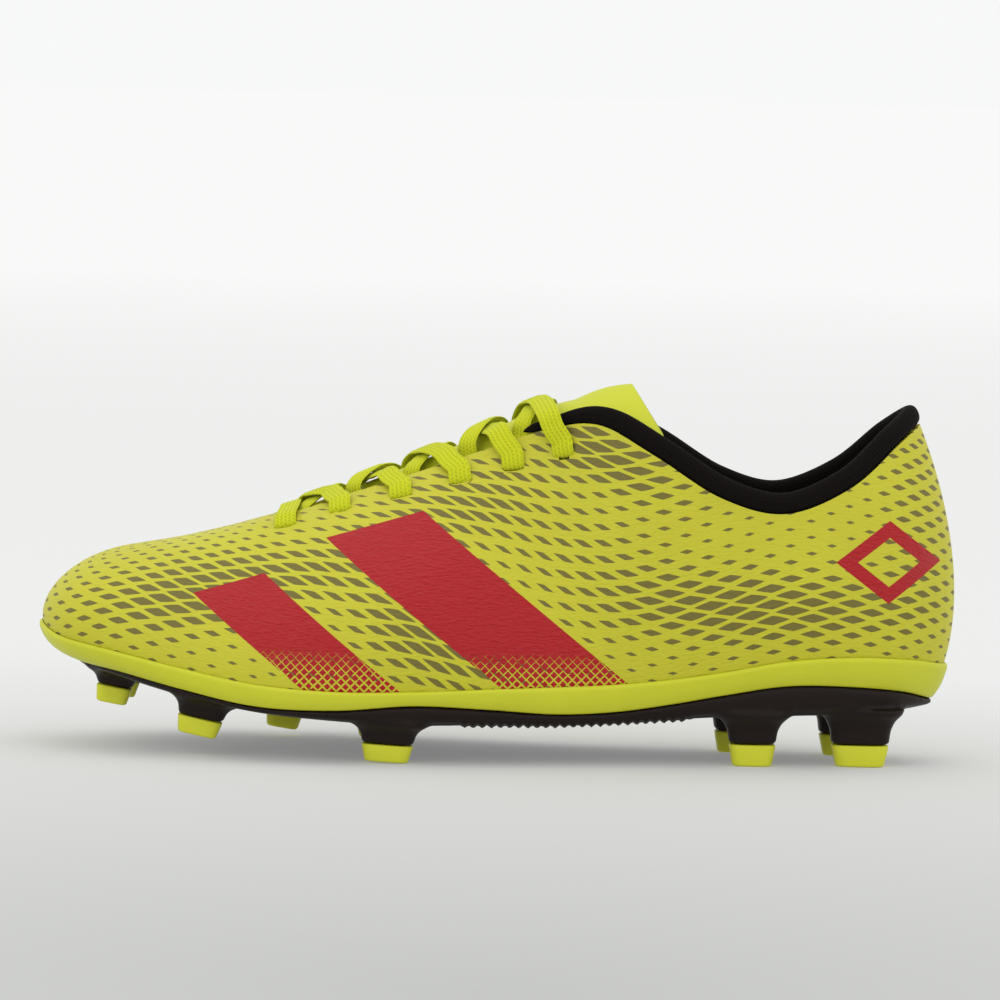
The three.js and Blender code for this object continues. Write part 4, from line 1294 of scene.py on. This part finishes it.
@dataclass
class Collar:
    """The padded textile roll that finishes the collar, from facing to facing round the heel."""

    start: float = 7.6
    height: float = 6.4
    width: float = 5.4
    proud: float = 0.9
    thin: float = 0.42  # its size at the facings, as a share
    sides: int = 28
    end_rings: tuple = (0.12, 0.55, 0.82, 0.96)

    def build(self) -> None:
        """Makes the roll with rounded ends."""
        us = span(self.start, ROUND - self.start, 0.06)
        top = LAST.top(us)
        along = unit(LAST.top(us + 0.05) - LAST.top(us - 0.05))
        out = LAST.normal(us, np.ones(len(us)))
        up = unit(np.cross(along, out))
        up = np.where(up[:, 2:] < 0, -up, up)
        swell = self.thin + (1 - self.thin) * smooth(LAST.station(us), self.start, self.start + 1.8)
        tall, wide = swell * self.height, swell * self.width
        middle = top + up * (tall / 2 + CLEARANCE)[:, None] + out * (self.proud - wide / 2)[:, None]
        turn = np.arange(self.sides) / self.sides * 2 * math.pi
        shape = np.ones(len(us))
        shape[: len(self.end_rings)] = self.end_rings
        shape[-len(self.end_rings) :] = self.end_rings[::-1]
        squareness = 0.86
        sine = np.sign(np.sin(turn)) * np.abs(np.sin(turn)) ** squareness
        cosine = np.sign(np.cos(turn)) * np.abs(np.cos(turn)) ** squareness
        rings = (
            middle[:, None]
            + up[:, None] * (tall * shape / 2)[:, None, None] * sine[None, :, None]
            + out[:, None] * (wide * shape / 2)[:, None, None] * cosine[None, :, None]
        )
        run = np.concatenate([[0], np.cumsum(np.linalg.norm(np.diff(middle, axis=0), axis=1))])
        uv = np.stack(np.broadcast_arrays(run[:, None], turn[None, :] * self.height / 2), -1)
        obj = ring_body("collar_roll_textile", rings, uv)
        dress(obj, COLLAR_TEXTILE)
        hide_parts("collar_roll")


# ---- Tongue ----------------------------------------------------------------------------------------


@dataclass
class Tongue:
    """One soft sheet under the lace, whose top flap stands free above the last row."""

    thickness: float = 2.4
    play: float = 0.4  # between the lace and the tongue under the facings
    lap: float = 13.0
    crown_depth: float = 0.7
    fold_half: float = 17.0
    fold_x: float = 21.0
    flap_centre: tuple = (38.5, 0.0, 116.5)
    flap_corner: tuple = (49.0, 21.0, 100.0)
    taper: float = 0.6
    across: int = 45

    @property
    def lane(self) -> float:
        """How deep the tongue's top lies under the facings."""
        return INSIDE_DEPTH + 2 * CLEARANCE + LACE_THICKNESS + self.play

    def point(self, k: np.ndarray, c: np.ndarray, lower: float) -> np.ndarray:
        """Points of the tongue: c from -1 to 1 across it, lower down from its top face.

        Args:
            k: stations.
            c: the place across it.
            lower: the depth under its top face.

        Returns:
            The points, in the last's frame.
        """
        k, c = np.broadcast_arrays(np.asarray(k, float), np.asarray(c, float))
        half = LAST.half_way(k)
        wide = half + self.lap
        wide = wide + (self.fold_half - wide) * smooth(k, 7.2, 8.3)
        s = c * wide
        share = np.where(half > 0, np.minimum(np.abs(s) / np.maximum(half, 1e-6), 1), 1)
        lift = np.minimum(0.5 * half, self.lane - self.crown_depth)
        return LAST.instep(k, s, -(self.lane - lift * (1 - share * share) ** 2) - lower)

    def fold_line(self, c: np.ndarray, lower: float) -> np.ndarray:
        """The tongue's points where its flap starts.

        Args:
            c: the places across it.
            lower: the depth under its top face.

        Returns:
            The points, in the last's frame.
        """
        low, high = np.full(len(c), 7.5), np.full(len(c), 9.5)
        for _ in range(18):
            middle = (low + high) / 2
            past = self.point(middle, c, lower)[:, 0] > self.fold_x
            low, high = np.where(past, low, middle), np.where(past, middle, high)
        return self.point(high, c, lower)

    def face(self, lower: float) -> np.ndarray:
        """One face of the tongue, as rows of points from its root to its free edge.

        Args:
            lower: the depth under its top face.

        Returns:
            The rows, as an array of row, point and x, y, z.
        """
        c = np.linspace(-1, 1, self.across)
        ks = span(3.5, 8, 0.125)
        base = self.point(ks[:, None], c[None, :], lower)
        fold = self.fold_line(c, lower)
        share = np.abs(c)[:, None] ** 1.5
        end = np.array(self.flap_centre) * (1 - share) + np.array(self.flap_corner) * share
        end[:, 1] = c * self.flap_corner[1]
        end = end + np.array([0.35, 0, -1]) * lower * self.taper
        t = np.linspace(0, 1, 22)[:, None, None]
        bow = 1.1 * np.sin(math.pi * t) * (1 - np.abs(c)[None, :, None] ** 2)
        flap = fold[None] * (1 - t) + end[None] * t + bow * np.array([0, 0, 1.0])
        return np.concatenate([base, flap])

    def build(self) -> None:
        """Makes the tongue, with its flap turned up at its fold."""
        top, under = self.face(0), self.face(self.thickness)
        rows, columns = top.shape[:2]
        run = np.cumsum(np.linalg.norm(np.diff(top[:, columns // 2], axis=0), axis=1))
        along = np.concatenate([[0], run])
        across = np.linspace(-25, 25, columns)
        uv = np.stack(np.broadcast_arrays(along[:, None], across[None, :]), -1)
        sheet = Sheet(
            top.reshape(-1, 3), under.reshape(-1, 3), grid_faces(rows, columns), uv.reshape(-1, 2)
        )
        obj = thick_sheet("tongue", sheet)
        turn_outwards(obj)
        apply_modifier(
            obj, "BEVEL", width=0.35 * MM, segments=2, limit_method="ANGLE", angle_limit=math.radians(50)
        )
        dress(obj, TONGUE_SKIN, body=None)
        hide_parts("tongue_base", "tongue_flap")
        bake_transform(obj)


# ---- Lace ------------------------------------------------------------------------------------------


@dataclass
class Lace:
    """A flat braided lace through six pairs of eyelets, with both ends tucked into the shoe."""

    width: float = 7.0
    thickness: float = LACE_THICKNESS
    ride: float = 1.05
    play: float = 0.5
    over_edge: float = 1.9
    cross_low: float = 0.9
    ribs: int = 5
    rib_relief: float = 0.13
    aglet_radius: float = 1.6
    aglet_way: tuple = (-0.975, 0.0, 0.22)

    ENDS = {
        Side.LATERAL: (
            (19.7, -18.8, 90.4), (19.9, -20, 85.8), (19.4, -23, 76.8), (17.5, -25.8, 67),
            (14, -28.2, 57.2), (9, -30.6, 48), (2.5, -32, 39.5), (-5, -31.2, 32), (-13, -28, 26.8),
            (-23, -24, 25.2), (-35, -20.5, 24.8), (-48, -18.5, 24.1), (-61, -17.5, 23.8),
            (-74, -17, 24.4), (-84, -16.5, 26.2),
        ),
        Side.MEDIAL: (
            (19.7, 18.4, 90.5), (19.7, 19.1, 86), (19.3, 20.9, 76.8), (17.6, 22.6, 67.2),
            (14, 24.2, 57.4), (9, 26.4, 48.2), (2.5, 27.2, 39.6), (-5, 26.6, 32.2), (-13, 24.2, 26.9),
            (-23, 21.5, 25.2), (-35, 19.5, 24.8), (-48, 18.2, 24.1), (-61, 17.6, 23.8),
            (-74, 17.2, 24.4), (-84, 17, 26.2),
        ),
    }

    def build(self) -> None:
        """Makes the two free ends with their aglets, then the laced part."""
        for side in Side:
            self._end(side)
        places, faces = self._laced()
        obj = self._ribbon("lace_laced", places, faces, 6)
        dress(obj, LACE_WEAVE)
        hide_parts("lace")

    def _end(self, side: Side) -> None:
        """One free end and its aglet.

        Args:
            side: the side that it hangs down on.
        """
        places = np.array(self.ENDS[side], float)
        upright = smooth(places[:, 2], 27, 40)
        rise = 0.28 * smooth(places[:, 2], 38, 55) - (1 - upright)
        faces = unit(np.stack([np.zeros(len(places)), upright * np.sign(places[:, 1]), rise], -1))
        obj = self._ribbon(f"lace_free_{side.word}", places, faces, 8)
        dress(obj, LACE_WEAVE)
        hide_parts(f"lace_end_{side.word}")
        aglet = self._aglet(side, places[-1])

    def _aglet(self, side: Side, start: np.ndarray) -> bpy.types.Object:
        """The rolled film tube on a lace's tip, slightly waisted where it was crimped.

        Args:
            side: the side of its lace end.
            start: where that end stops.

        Returns:
            The new object.
        """
        way = unit(np.array(self.aglet_way))
        across = np.array([0.0, 1.0, 0.0])
        up = np.cross(across, way)
        profile = (
            (0.0, 0.8), (0.3, 1.0), (3.0, 0.97), (4.0, 0.9), (5.0, 0.97), (9.0, 0.95), (10.0, 0.88),
            (11.0, 0.95), (17.4, 0.93), (18.0, 0.72),
        )
        turn = np.arange(24) / 24 * 2 * math.pi
        first = start + way * 2 * CLEARANCE
        rings = np.array([
            [
                first + way * run
                + (across * math.cos(t) + up * math.sin(t)) * self.aglet_radius * share
                for t in turn
            ]
            for run, share in profile
        ])
        obj = ring_body(f"aglet_film_{side.word}", rings)
        dress(obj, AGLET_FILM)
        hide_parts(f"aglet_{side.word}")
        return obj

    def _ribbon(
        self, name: str, places: np.ndarray, faces: np.ndarray, parts: int
    ) -> bpy.types.Object:
        """A braided strip along a route.

        Args:
            name: the piece's name.
            places: the route's points.
            faces: the way its face points at each.
            parts: how many rings lie between two points.

        Returns:
            The new object.
        """
        ends = places[1] - places[0], places[-1] - places[-2]
        along = unit(np.vstack([ends[0], places[2:] - places[:-2], ends[1]]))
        across = self._across(along, faces)
        line = spline(places, parts)
        side = spline(across, parts)
        way = unit(np.gradient(line, axis=0))
        side = unit(side - way * (side * way).sum(axis=1, keepdims=True))
        up = np.cross(side, way)
        share = np.linspace(-1, 1, 4 * self.ribs + 1)
        crown = np.sqrt(np.clip(1 - np.abs(share) ** 6, 0, 1))
        wave = 1 - self.rib_relief + self.rib_relief * np.cos(math.pi * self.ribs * (share + 1))
        lift = crown * wave * self.thickness / 2
        section_s = np.concatenate([share, share[-2:0:-1]]) * self.width / 2
        section_t = np.concatenate([lift, -lift[-2:0:-1]])
        rings = (
            line[:, None]
            + side[:, None] * section_s[None, :, None]
            + up[:, None] * section_t[None, :, None]
        )
        run = np.concatenate([[0], np.cumsum(np.linalg.norm(np.diff(line, axis=0), axis=1))])
        uv = np.stack(np.broadcast_arrays(run[:, None], section_s[None, :]), -1)
        return ring_body(name, rings, uv)

    @staticmethod
    def _across(along: np.ndarray, faces: np.ndarray) -> np.ndarray:
        """The strip's crossways direction at each point, carried on through sharp bends.

        Args:
            along: the route's directions.
            faces: the way the strip's face points.

        Returns:
            The crossways directions at length one.
        """
        side = np.cross(along, faces)
        length = np.linalg.norm(side, axis=1)
        known = np.flatnonzero(length > 0.45)
        found = unit(side)
        previous = found[known[0]]
        for i in known:
            if found[i] @ previous < 0:
                found[i] = -found[i]
            previous = found[i]
        for i in np.flatnonzero(length <= 0.45):
            before, after = known[known < i], known[known > i]
            first = found[before[-1]] if len(before) else found[after[0]]
            second = found[after[0]] if len(after) else first
            made = first + second
            found[i] = unit(made - along[i] * (made @ along[i]))
        return found

    def _into_eyelet(self, k: float, side: int, turn: int = 1) -> list:
        """Way points from above an eyelet down through it, then back under the facing.

        Args:
            k: the eyelet's station.
            side: -1 on the lateral side and 1 on the medial side.
            turn: 1 to go on towards the heel, -1 to end.

        Returns:
            Station, way across and height of each point.
        """
        lane = self._lane
        steps = (
            (4.5, self.ride + 0.6), (2.2, self.ride + 0.15), (0.5, 0.3 * self.ride),
            (0, -UPPER_THICKNESS), (0, lane + 1.3), (0.5 * turn, lane + 0.1), (2 * turn, lane),
            (5.6 if turn > 0 else -2.6, lane),
        )
        hole = float(LAST.half_way(k)) + Upper.eyelet_setback
        return [(k, side * (hole - back), h) for back, h in steps]

    @property
    def _lane(self) -> float:
        """The height, under the upper's face, at which the lace runs inside the shoe."""
        return -(INSIDE_DEPTH + self.play + self.thickness / 2)

    def _crossing(self, start: float, end: float, side: int, low: bool) -> list:
        """Way points from one eyelet's underside over the tongue to the next on the other side.

        Args:
            start: the station of the eyelet that it leaves.
            end: the station of the one that it comes to.
            side: the side that it leaves.
            low: True for the strand that lies under the other.

        Returns:
            Station, way across and height of each point.
        """
        under = -(UPPER_THICKNESS + self.play + self.thickness / 2)

        def k(share: float) -> float:
            """The station part of the way along."""
            return start + (end - start) * share

        def half(share: float) -> float:
            """Half the throat's width there."""
            return float(LAST.half_way(k(share)))

        def by_roll(station: float) -> float:
            """1 where the lace passes the collar roll."""
            return float(smooth(station, Collar.start - 0.5, Collar.start))

        middle = self.cross_low if low else self.cross_low + self.thickness + CLEARANCE
        return [
            (k(0.05), side * (half(0.05) + 1.6), under - 0.2),
            (k(0.12), side * half(0.12) * 0.77, under - 0.3),
            (k(0.21), side * half(0.5) * 0.52, -0.6 if low else 0.9 - 0.9 * by_roll(start)),
            (k(0.38), side * half(0.5) * 0.3, middle - 0.4 if low else middle),
            (k(0.5), 0, middle),
            (k(0.62), -side * half(0.5) * 0.3, middle),
            (k(0.79), -side * (half(0.79) - 4.2), self.over_edge + 1.7 * by_roll(end)),
            (k(0.88), -side * (half(0.88) + 0.8), self.over_edge - 0.3 + 1.3 * by_roll(end)),
        ]

    def _half(self, side: int) -> list:
        """Way points from the middle of the first bar up to the last eyelet's underside.

        Args:
            side: the side of its first eyelet.

        Returns:
            Station, way across and height of each point.
        """
        eyelets = Upper.eyelets
        first = eyelets[0]
        way = [
            (first, 0, self.ride + 0.6),
            (first, side * float(LAST.half_way(first)) / 2, self.ride + 0.3),
        ]
        here = side
        way += self._into_eyelet(first, here)
        for i in range(1, len(eyelets)):
            turn = -1 if i + 1 == len(eyelets) else 1
            way += self._crossing(eyelets[i - 1], eyelets[i], here, side < 0)
            way += self._into_eyelet(eyelets[i], -here, turn)
            here = -here
        return way

    def _laced(self) -> tuple[np.ndarray, np.ndarray]:
        """The whole laced route, and the way its face points.

        Returns:
            The points, and the face's directions.
        """
        way = [*self._half(-1)[:0:-1], *self._half(1)]
        k, s, h = np.array(way, float).T
        places = LAST.instep(k, s, h)
        return places, unit(LAST.instep(k, s, h + 1) - places)


# ---- Sole ------------------------------------------------------------------------------------------


@dataclass(frozen=True)
class Stud:
    """One stud: its place, its size fore and aft and across, its foot's height and its pitch."""

    name: str
    side: Side
    k: float
    inset: float
    length: float
    width: float
    foot: float
    pitch: float

    taper = 0.84  # the foot's share of the top
    flare = 4.2  # how far the base spreads where it meets the plate

    @property
    def tip_height(self) -> float:
        """The height of its coloured tip; the heel's are taller."""
        return 5.6 * (0.95 if self.pitch else 1.2)

    def matrix(self) -> Matrix:
        """Its place and pitch, in the row frame.

        Returns:
            The matrix that takes a stud made at the origin there.
        """
        u = self.side.round(self.k)
        place = LAST.edge(np.array(u)) - LAST.outward(np.array(u)) * self.inset
        tilt = math.radians(self.pitch)
        drop = self.length / 2 * self.taper * math.sin(tilt)
        where = LAST.to_row(np.array([place[0], place[1], self.foot + drop]))
        return Matrix.Translation(Vector(where)) @ Matrix.Rotation(tilt, 4, "Y")

    def column(self, name: str, rings: list[tuple[float, float, float]]) -> bpy.types.Object:
        """A rounded block extruded ring by ring.

        Args:
            name: the new object's name.
            rings: for each ring its height, its share of the stud's size and its spread, in mm.

        Returns:
            The new object, at the stud's place.
        """
        height, share, grow = rings[0]
        bpy.ops.object.select_all(action="DESELECT")
        bpy.ops.mesh.primitive_circle_add(vertices=40, radius=1.0, fill_type="NGON")
        obj = bpy.context.active_object
        obj.name = name
        squareness = 0.55
        for vertex in obj.data.vertices:
            x, y = vertex.co.x, vertex.co.y
            vertex.co.x = math.copysign(abs(x) ** squareness, x)
            vertex.co.y = math.copysign(abs(y) ** squareness, y)
        before = self._half(share, grow)
        bpy.ops.object.mode_set(mode="EDIT")
        bpy.ops.mesh.select_all(action="SELECT")
        bpy.ops.transform.resize(value=(before[0], before[1], 1), center_override=(0, 0, 0))
        bpy.ops.transform.translate(value=(0, 0, height * MM))
        for level, share, grow in rings[1:]:
            half = self._half(share, grow)
            bpy.ops.mesh.extrude_region_move(
                TRANSFORM_OT_translate={"value": (0, 0, (level - height) * MM)}
            )
            bpy.ops.transform.resize(
                value=(half[0] / before[0], half[1] / before[1], 1),
                center_override=(0, 0, level * MM),
            )
            height, before = level, half
        bpy.ops.mesh.select_all(action="SELECT")
        bpy.ops.mesh.normals_make_consistent(inside=False)
        bpy.ops.object.mode_set(mode="OBJECT")
        obj.data.transform(self.matrix())
        return obj

    def _half(self, share: float, grow: float) -> tuple[float, float]:
        """Half of its length and width in metres, at a share of its size and a spread."""
        return ((self.length / 2 * share + grow) * MM, (self.width / 2 * share + grow) * MM)


@dataclass
class Sole:
    """The moulded plate with its stud bases, the tips, the edge band and the insole."""

    lip: float = 1.4
    rib_pitch: float = 2.8
    rib_height: float = 1.1
    rib_stations: tuple = (6.55, 10.5)
    voxel: float = 0.75
    insole_rings: tuple = (  # in from the upper's lower edge, and up from it
        (5.0, 2.2), (4.4, 2.7), (4.4, 4.8), (4.9, 5.5), (6.0, 5.75), (9.0, 5.6),
    )
    # The band's section from its foot to its top: share of the way up, and how far it stands out.
    band_section: tuple = (
        (0, 0.8), (0.04, 1.05), (0.1, 1.2), (0.2, 1.35), (0.32, 1.5), (0.45, 1.6), (0.58, 1.6),
        (0.7, 1.55), (0.8, 1.5), (0.88, 1.45), (0.94, 1.3), (0.975, 1.05), (1.0, 0.55),
    )
    studs: tuple = (
        Stud("toe_lateral", Side.LATERAL, 1.0, 8.5, 11.2, 9, 13, 10),
        Stud("toe_medial", Side.MEDIAL, 1.15, 9, 11.2, 9, 13, 10),
        Stud("fore_lateral", Side.LATERAL, 3.04, 9.5, 14.2, 10, 5.2, 12),
        Stud("fore_medial", Side.MEDIAL, 4.2, 10, 11.8, 10, 2, 9),
        Stud("ball_lateral", Side.LATERAL, 5.69, 9.2, 16, 10.5, 0, 3),
        Stud("ball_medial", Side.MEDIAL, 5.6, 9.8, 16, 10.5, 0, 3),
        Stud("heel_front_lateral", Side.LATERAL, 11.47, 8.6, 14.6, 11, 0, 0),
        Stud("heel_front_medial", Side.MEDIAL, 11.28, 8.2, 14.6, 11, 0, 0),
        Stud("heel_rear_lateral", Side.LATERAL, 13.48, 8.6, 18, 11.5, 0, 0),
        Stud("heel_rear_medial", Side.MEDIAL, 13.32, 8.6, 18, 11.5, 0, 0),
    )

    def build(self) -> None:
        """Makes the band, the plate, the tips and the insole."""
        self._band()
        self._plate()
        for stud in self.studs:
            self._tip(stud)
        self._insole()

    def _band(self) -> None:
        """The band round the sole's edge: a rounded top edge, and a body that swells a little."""
        us = span(0, ROUND, 0.05)[:-1]
        floor = LAST.station(us)
        target = at_station(LAST.band_top, floor)
        levels = np.linspace(0, 0.7, 141)
        heights = LAST.wall(us[:, None], levels[None, :])[..., 2]
        top = np.array([np.interp(z, h, levels) for z, h in zip(target, heights)])
        rows, proud = np.array(self.band_section).T
        foot, gap = 0.004, 0.25  # its foot's level, and its gap to the upper
        v = foot + (top[:, None] - foot) * rows[None, :]
        u = np.broadcast_to(us[:, None], v.shape)
        outer = LAST.inside(u, v, -np.broadcast_to(proud, v.shape)).reshape(-1, 3)
        inner = LAST.inside(u, v, np.full(v.shape, -gap)).reshape(-1, 3)
        uv = np.stack([u * 20.0, v * 100.0], -1).reshape(-1, 2)
        faces = grid_faces(*v.shape, closed=True)
        obj = thick_sheet("edge_band_moulded", Sheet(outer, inner, faces, uv))
        dress(obj, BAND_PLASTIC)
        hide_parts("edge_band")

    def _slab(self) -> bpy.types.Object:
        """The plate without its studs, skinned over outlines that step in downwards.

        Returns:
            The new object.
        """
        us = span(0, ROUND, 0.1)[:-1]
        k = LAST.station(us)
        base, out = LAST.edge(us), LAST.outward(us)
        rings = []
        lip = self.lip
        for spread, share in ((lip - 0.5, 0.0), (lip, 0.06), (lip, 0.25), (0.4, 0.7), (-3.5, 1.0)):
            ring = base + out * spread
            station = LAST.station_at(ring[:, 0])
            edge_z = at_station(LAST.edge_z, station) - CLEARANCE
            plate_z = at_station(LAST.plate_z, station)
            ring[:, 2] = edge_z + (plate_z - edge_z) * share
            rings.append(ring)
        return skinned("sole_plate_moulded", rings)

    def _plate(self) -> None:
        """The plate and its stud bases as one moulding, with soft fillets and grip ribs."""
        plate = self._slab()
        bases = []
        for stud in self.studs:
            top = stud.tip_height + CLEARANCE
            place = np.array(stud.matrix().translation) / MM - LAST_ORIGIN
            under = at_station(LAST.plate_z, LAST.station_at(place[:1]))[0] - place[2]
            rise = max(float(under) - top, 1.0)
            rings = [
                (top, 1, 0), (top + rise * 0.45, 1, 0.12 * stud.flare),
                (top + rise * 0.75, 1, 0.42 * stud.flare), (top + rise, 1, stud.flare),
                (top + rise + 1.4, 1, stud.flare + 0.4),
            ]
            bases.append(stud.column(f"base_{stud.name}", rings))
        bpy.ops.object.select_all(action="DESELECT")
        for base in bases:
            base.select_set(True)
        plate.select_set(True)
        bpy.context.view_layer.objects.active = plate
        bpy.ops.object.join()
        apply_modifier(plate, "REMESH", mode="VOXEL", voxel_size=self.voxel * MM, adaptivity=0.0)
        apply_modifier(plate, "SMOOTH", factor=0.5, iterations=5)
        self._ribs(plate)
        sharpen(plate, 60)
        dress(plate, PLATE_PLASTIC)
        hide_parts("sole_plate")

    def _ribs(self, plate: bpy.types.Object) -> None:
        """Cross ribs under the waist.

        Args:
            plate: the plate, whose points are moved.
        """
        count = len(plate.data.vertices)
        places, normals = np.empty(count * 3, np.float32), np.empty(count * 3, np.float32)
        plate.data.vertices.foreach_get("co", places)
        plate.data.vertices.foreach_get("normal", normals)
        points, facing = places.reshape(-1, 3).astype(float), normals.reshape(-1, 3)
        local = points / MM - LAST_ORIGIN
        start, end = at_station(LAST.edge_x, np.array(self.rib_stations))
        k = LAST.station_at(local[:, 0])
        under = at_station(LAST.plate_z, k)
        waist = smooth(local[:, 0], start, start + 4) * (1 - smooth(local[:, 0], end - 4, end))
        near = (np.abs(local[:, 2] - under) < 1.6) & (facing[:, 2] < -0.6)
        phase = (local[:, 0] - start) / self.rib_pitch
        saw = np.abs(phase - np.round(phase)) * 2
        drop = np.where(near, waist * (1 - saw) * self.rib_height, 0)
        points[:, 2] -= drop * MM
        plate.data.vertices.foreach_set("co", points.astype(np.float32).ravel())
        plate.data.update()

    def _tip(self, stud: Stud) -> None:
        """One stud tip: a tapered block with rounded edges.

        Args:
            stud: the stud.
        """
        tall, taper = stud.tip_height, stud.taper
        rings = [(0, taper, 0), (tall * 0.5, (1 + taper) / 2, 0), (tall, 1, 0)]
        obj = stud.column(f"tip_{stud.name}", rings)
        apply_modifier(
            obj, "BEVEL", width=0.7 * MM, segments=3, limit_method="ANGLE", angle_limit=math.radians(50)
        )
        sharpen(obj, 40)
        dress(obj, TIP_PLASTIC)
        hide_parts(f"stud_tip_{stud.name}")

    def _insole(self) -> None:
        """The insole: a cloth-covered foam sheet with a rounded rim that cups the heel."""
        us = span(0, ROUND, 0.1)[:-1]
        base, out = LAST.edge(us), LAST.outward(us)
        rings = []
        for inset, height in self.insole_rings:
            ring = base - out * inset
            ring[:, 2] = at_station(LAST.edge_z, LAST.station_at(ring[:, 0])) + height
            rings.append(ring)
        obj = skinned("insole_covered", rings, with_uv=True)
        sharpen(obj, 40)
        dress(obj, INSOLE_CLOTH)
        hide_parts("insole")


# ---- Studio ----------------------------------------------------------------------------------------


@dataclass
class Studio:
    """A pale floor, soft light and a level camera square to the shoe's lateral side."""

    lens: float = 218.4
    distance: float = 1.8905
    height: float = 0.211
    tilt_down: float = 3.99
    roll: float = 1.303
    sideways: float = 0.0006
    floor_size: float = 120.0
    # The floor's glow is painted light: emission that brightens the floor with distance and lifts the
    # shadows on it.
    floor_glow: tuple = ((0.0, 0.8, 0.31), (0.8, 5.0, 0.18))  # from, to, and what it adds by there

    def camera(self) -> None:
        """The camera, which looks along +Y."""
        data = bpy.data.cameras.new("camera")
        data.lens = self.lens
        data.sensor_width = 36
        data.clip_end = 100
        obj = bpy.data.objects.new("camera", data)
        bpy.context.scene.collection.objects.link(obj)
        pitch = Matrix.Rotation(math.radians(90 - self.tilt_down), 4, "X")
        roll = Matrix.Rotation(math.radians(self.roll), 4, "Z")
        place = Matrix.Translation((self.sideways, -self.distance, self.height))
        obj.matrix_world = place @ pitch @ roll
        bpy.context.scene.camera = obj

    def light(self, name: str, place: tuple, size: tuple, power: float) -> None:
        """A soft rectangular light that faces the shoe.

        Args:
            name: its name.
            place: its middle, in metres.
            size: its width and height, in metres.
            power: in watts.
        """
        data = bpy.data.lights.new(name, "AREA")
        data.shape = "RECTANGLE"
        data.size, data.size_y = size
        data.energy = power
        obj = bpy.data.objects.new(name, data)
        bpy.context.scene.collection.objects.link(obj)
        obj.location = place
        aim = Vector((0, 0, 0.05)) - Vector(place)
        obj.rotation_euler = aim.to_track_quat("-Z", "Y").to_euler()

    def build(self) -> None:
        """Lights, floor and surroundings."""
        scene = bpy.context.scene
        scene.view_settings.view_transform = "Standard"
        world = bpy.data.worlds.new("studio")
        world.use_nodes = True
        ground = world.node_tree.nodes["Background"]
        fill(ground, {"Color": (0.965, 0.97, 0.97, 1), "Strength": 0.97})
        scene.world = world
        self.light("overhead", (0.0, 0.1, 1.6), (1.8, 1.4), 5.0)
        self.light("front_left", (-0.9, -1.3, 0.9), (0.9, 0.9), 3.5)
        self.light("front_right", (1.1, -1.0, 0.6), (0.7, 0.9), 1.5)
        self._floor()

    def _floor(self) -> None:
        """A floor that pales away from the camera, as a lit paper sweep does; the paling is painted
        light, a glow that grows with distance and lifts the shadows on it too.
        """
        bpy.ops.object.select_all(action="DESELECT")
        bpy.ops.mesh.primitive_grid_add(x_subdivisions=24, y_subdivisions=24, size=1)
        floor = bpy.context.active_object
        floor.name = "studio_floor"
        floor.data.transform(Matrix.Diagonal((self.floor_size, self.floor_size, 1, 1)))
        floor.data.transform(Matrix.Translation((0, 0, -0.0001)))
        made, tree, shader = new_material("matt_paper_sweep_painted_glow")
        place = add_node(tree, "TexCoord").outputs["Object"]
        away = add_node(tree, "VectorMath", (place, (0.0, -0.5, 0.0)), operation="DISTANCE")
        ramps = []
        for start, end, glow in self.floor_glow:
            ramp = {"Value": away, "From Min": start, "From Max": end, "To Min": 0.0, "To Max": glow}
            ramps.append(add_node(tree, "MapRange", ramp))
        # Painted light: the floor's emission brightens it away from the camera and lightens the shadows
        # on it.
        fill(shader, {
            "Emission Strength": add_node(tree, "Math", tuple(ramps), operation="ADD"),
            "Emission Color": (1, 1, 1, 1),
            "Base Color": linear("#B9BAB8"),
            "Roughness": 0.9,
            "Specular IOR Level": 0.0,
        })
        floor.data.materials.append(made)


def main() -> None:
    """Builds the scene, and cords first."""
    logging.basicConfig(level=logging.INFO, format="%(name)s: %(message)s")
    bpy.ops.object.select_all(action="DESELECT")
    studio = Studio()
    studio.camera()
    for part in (Lace(), Upper(), Collar(), Tongue(), Sole(), studio):
        part.build()


if __name__ == "__main__":
    main()
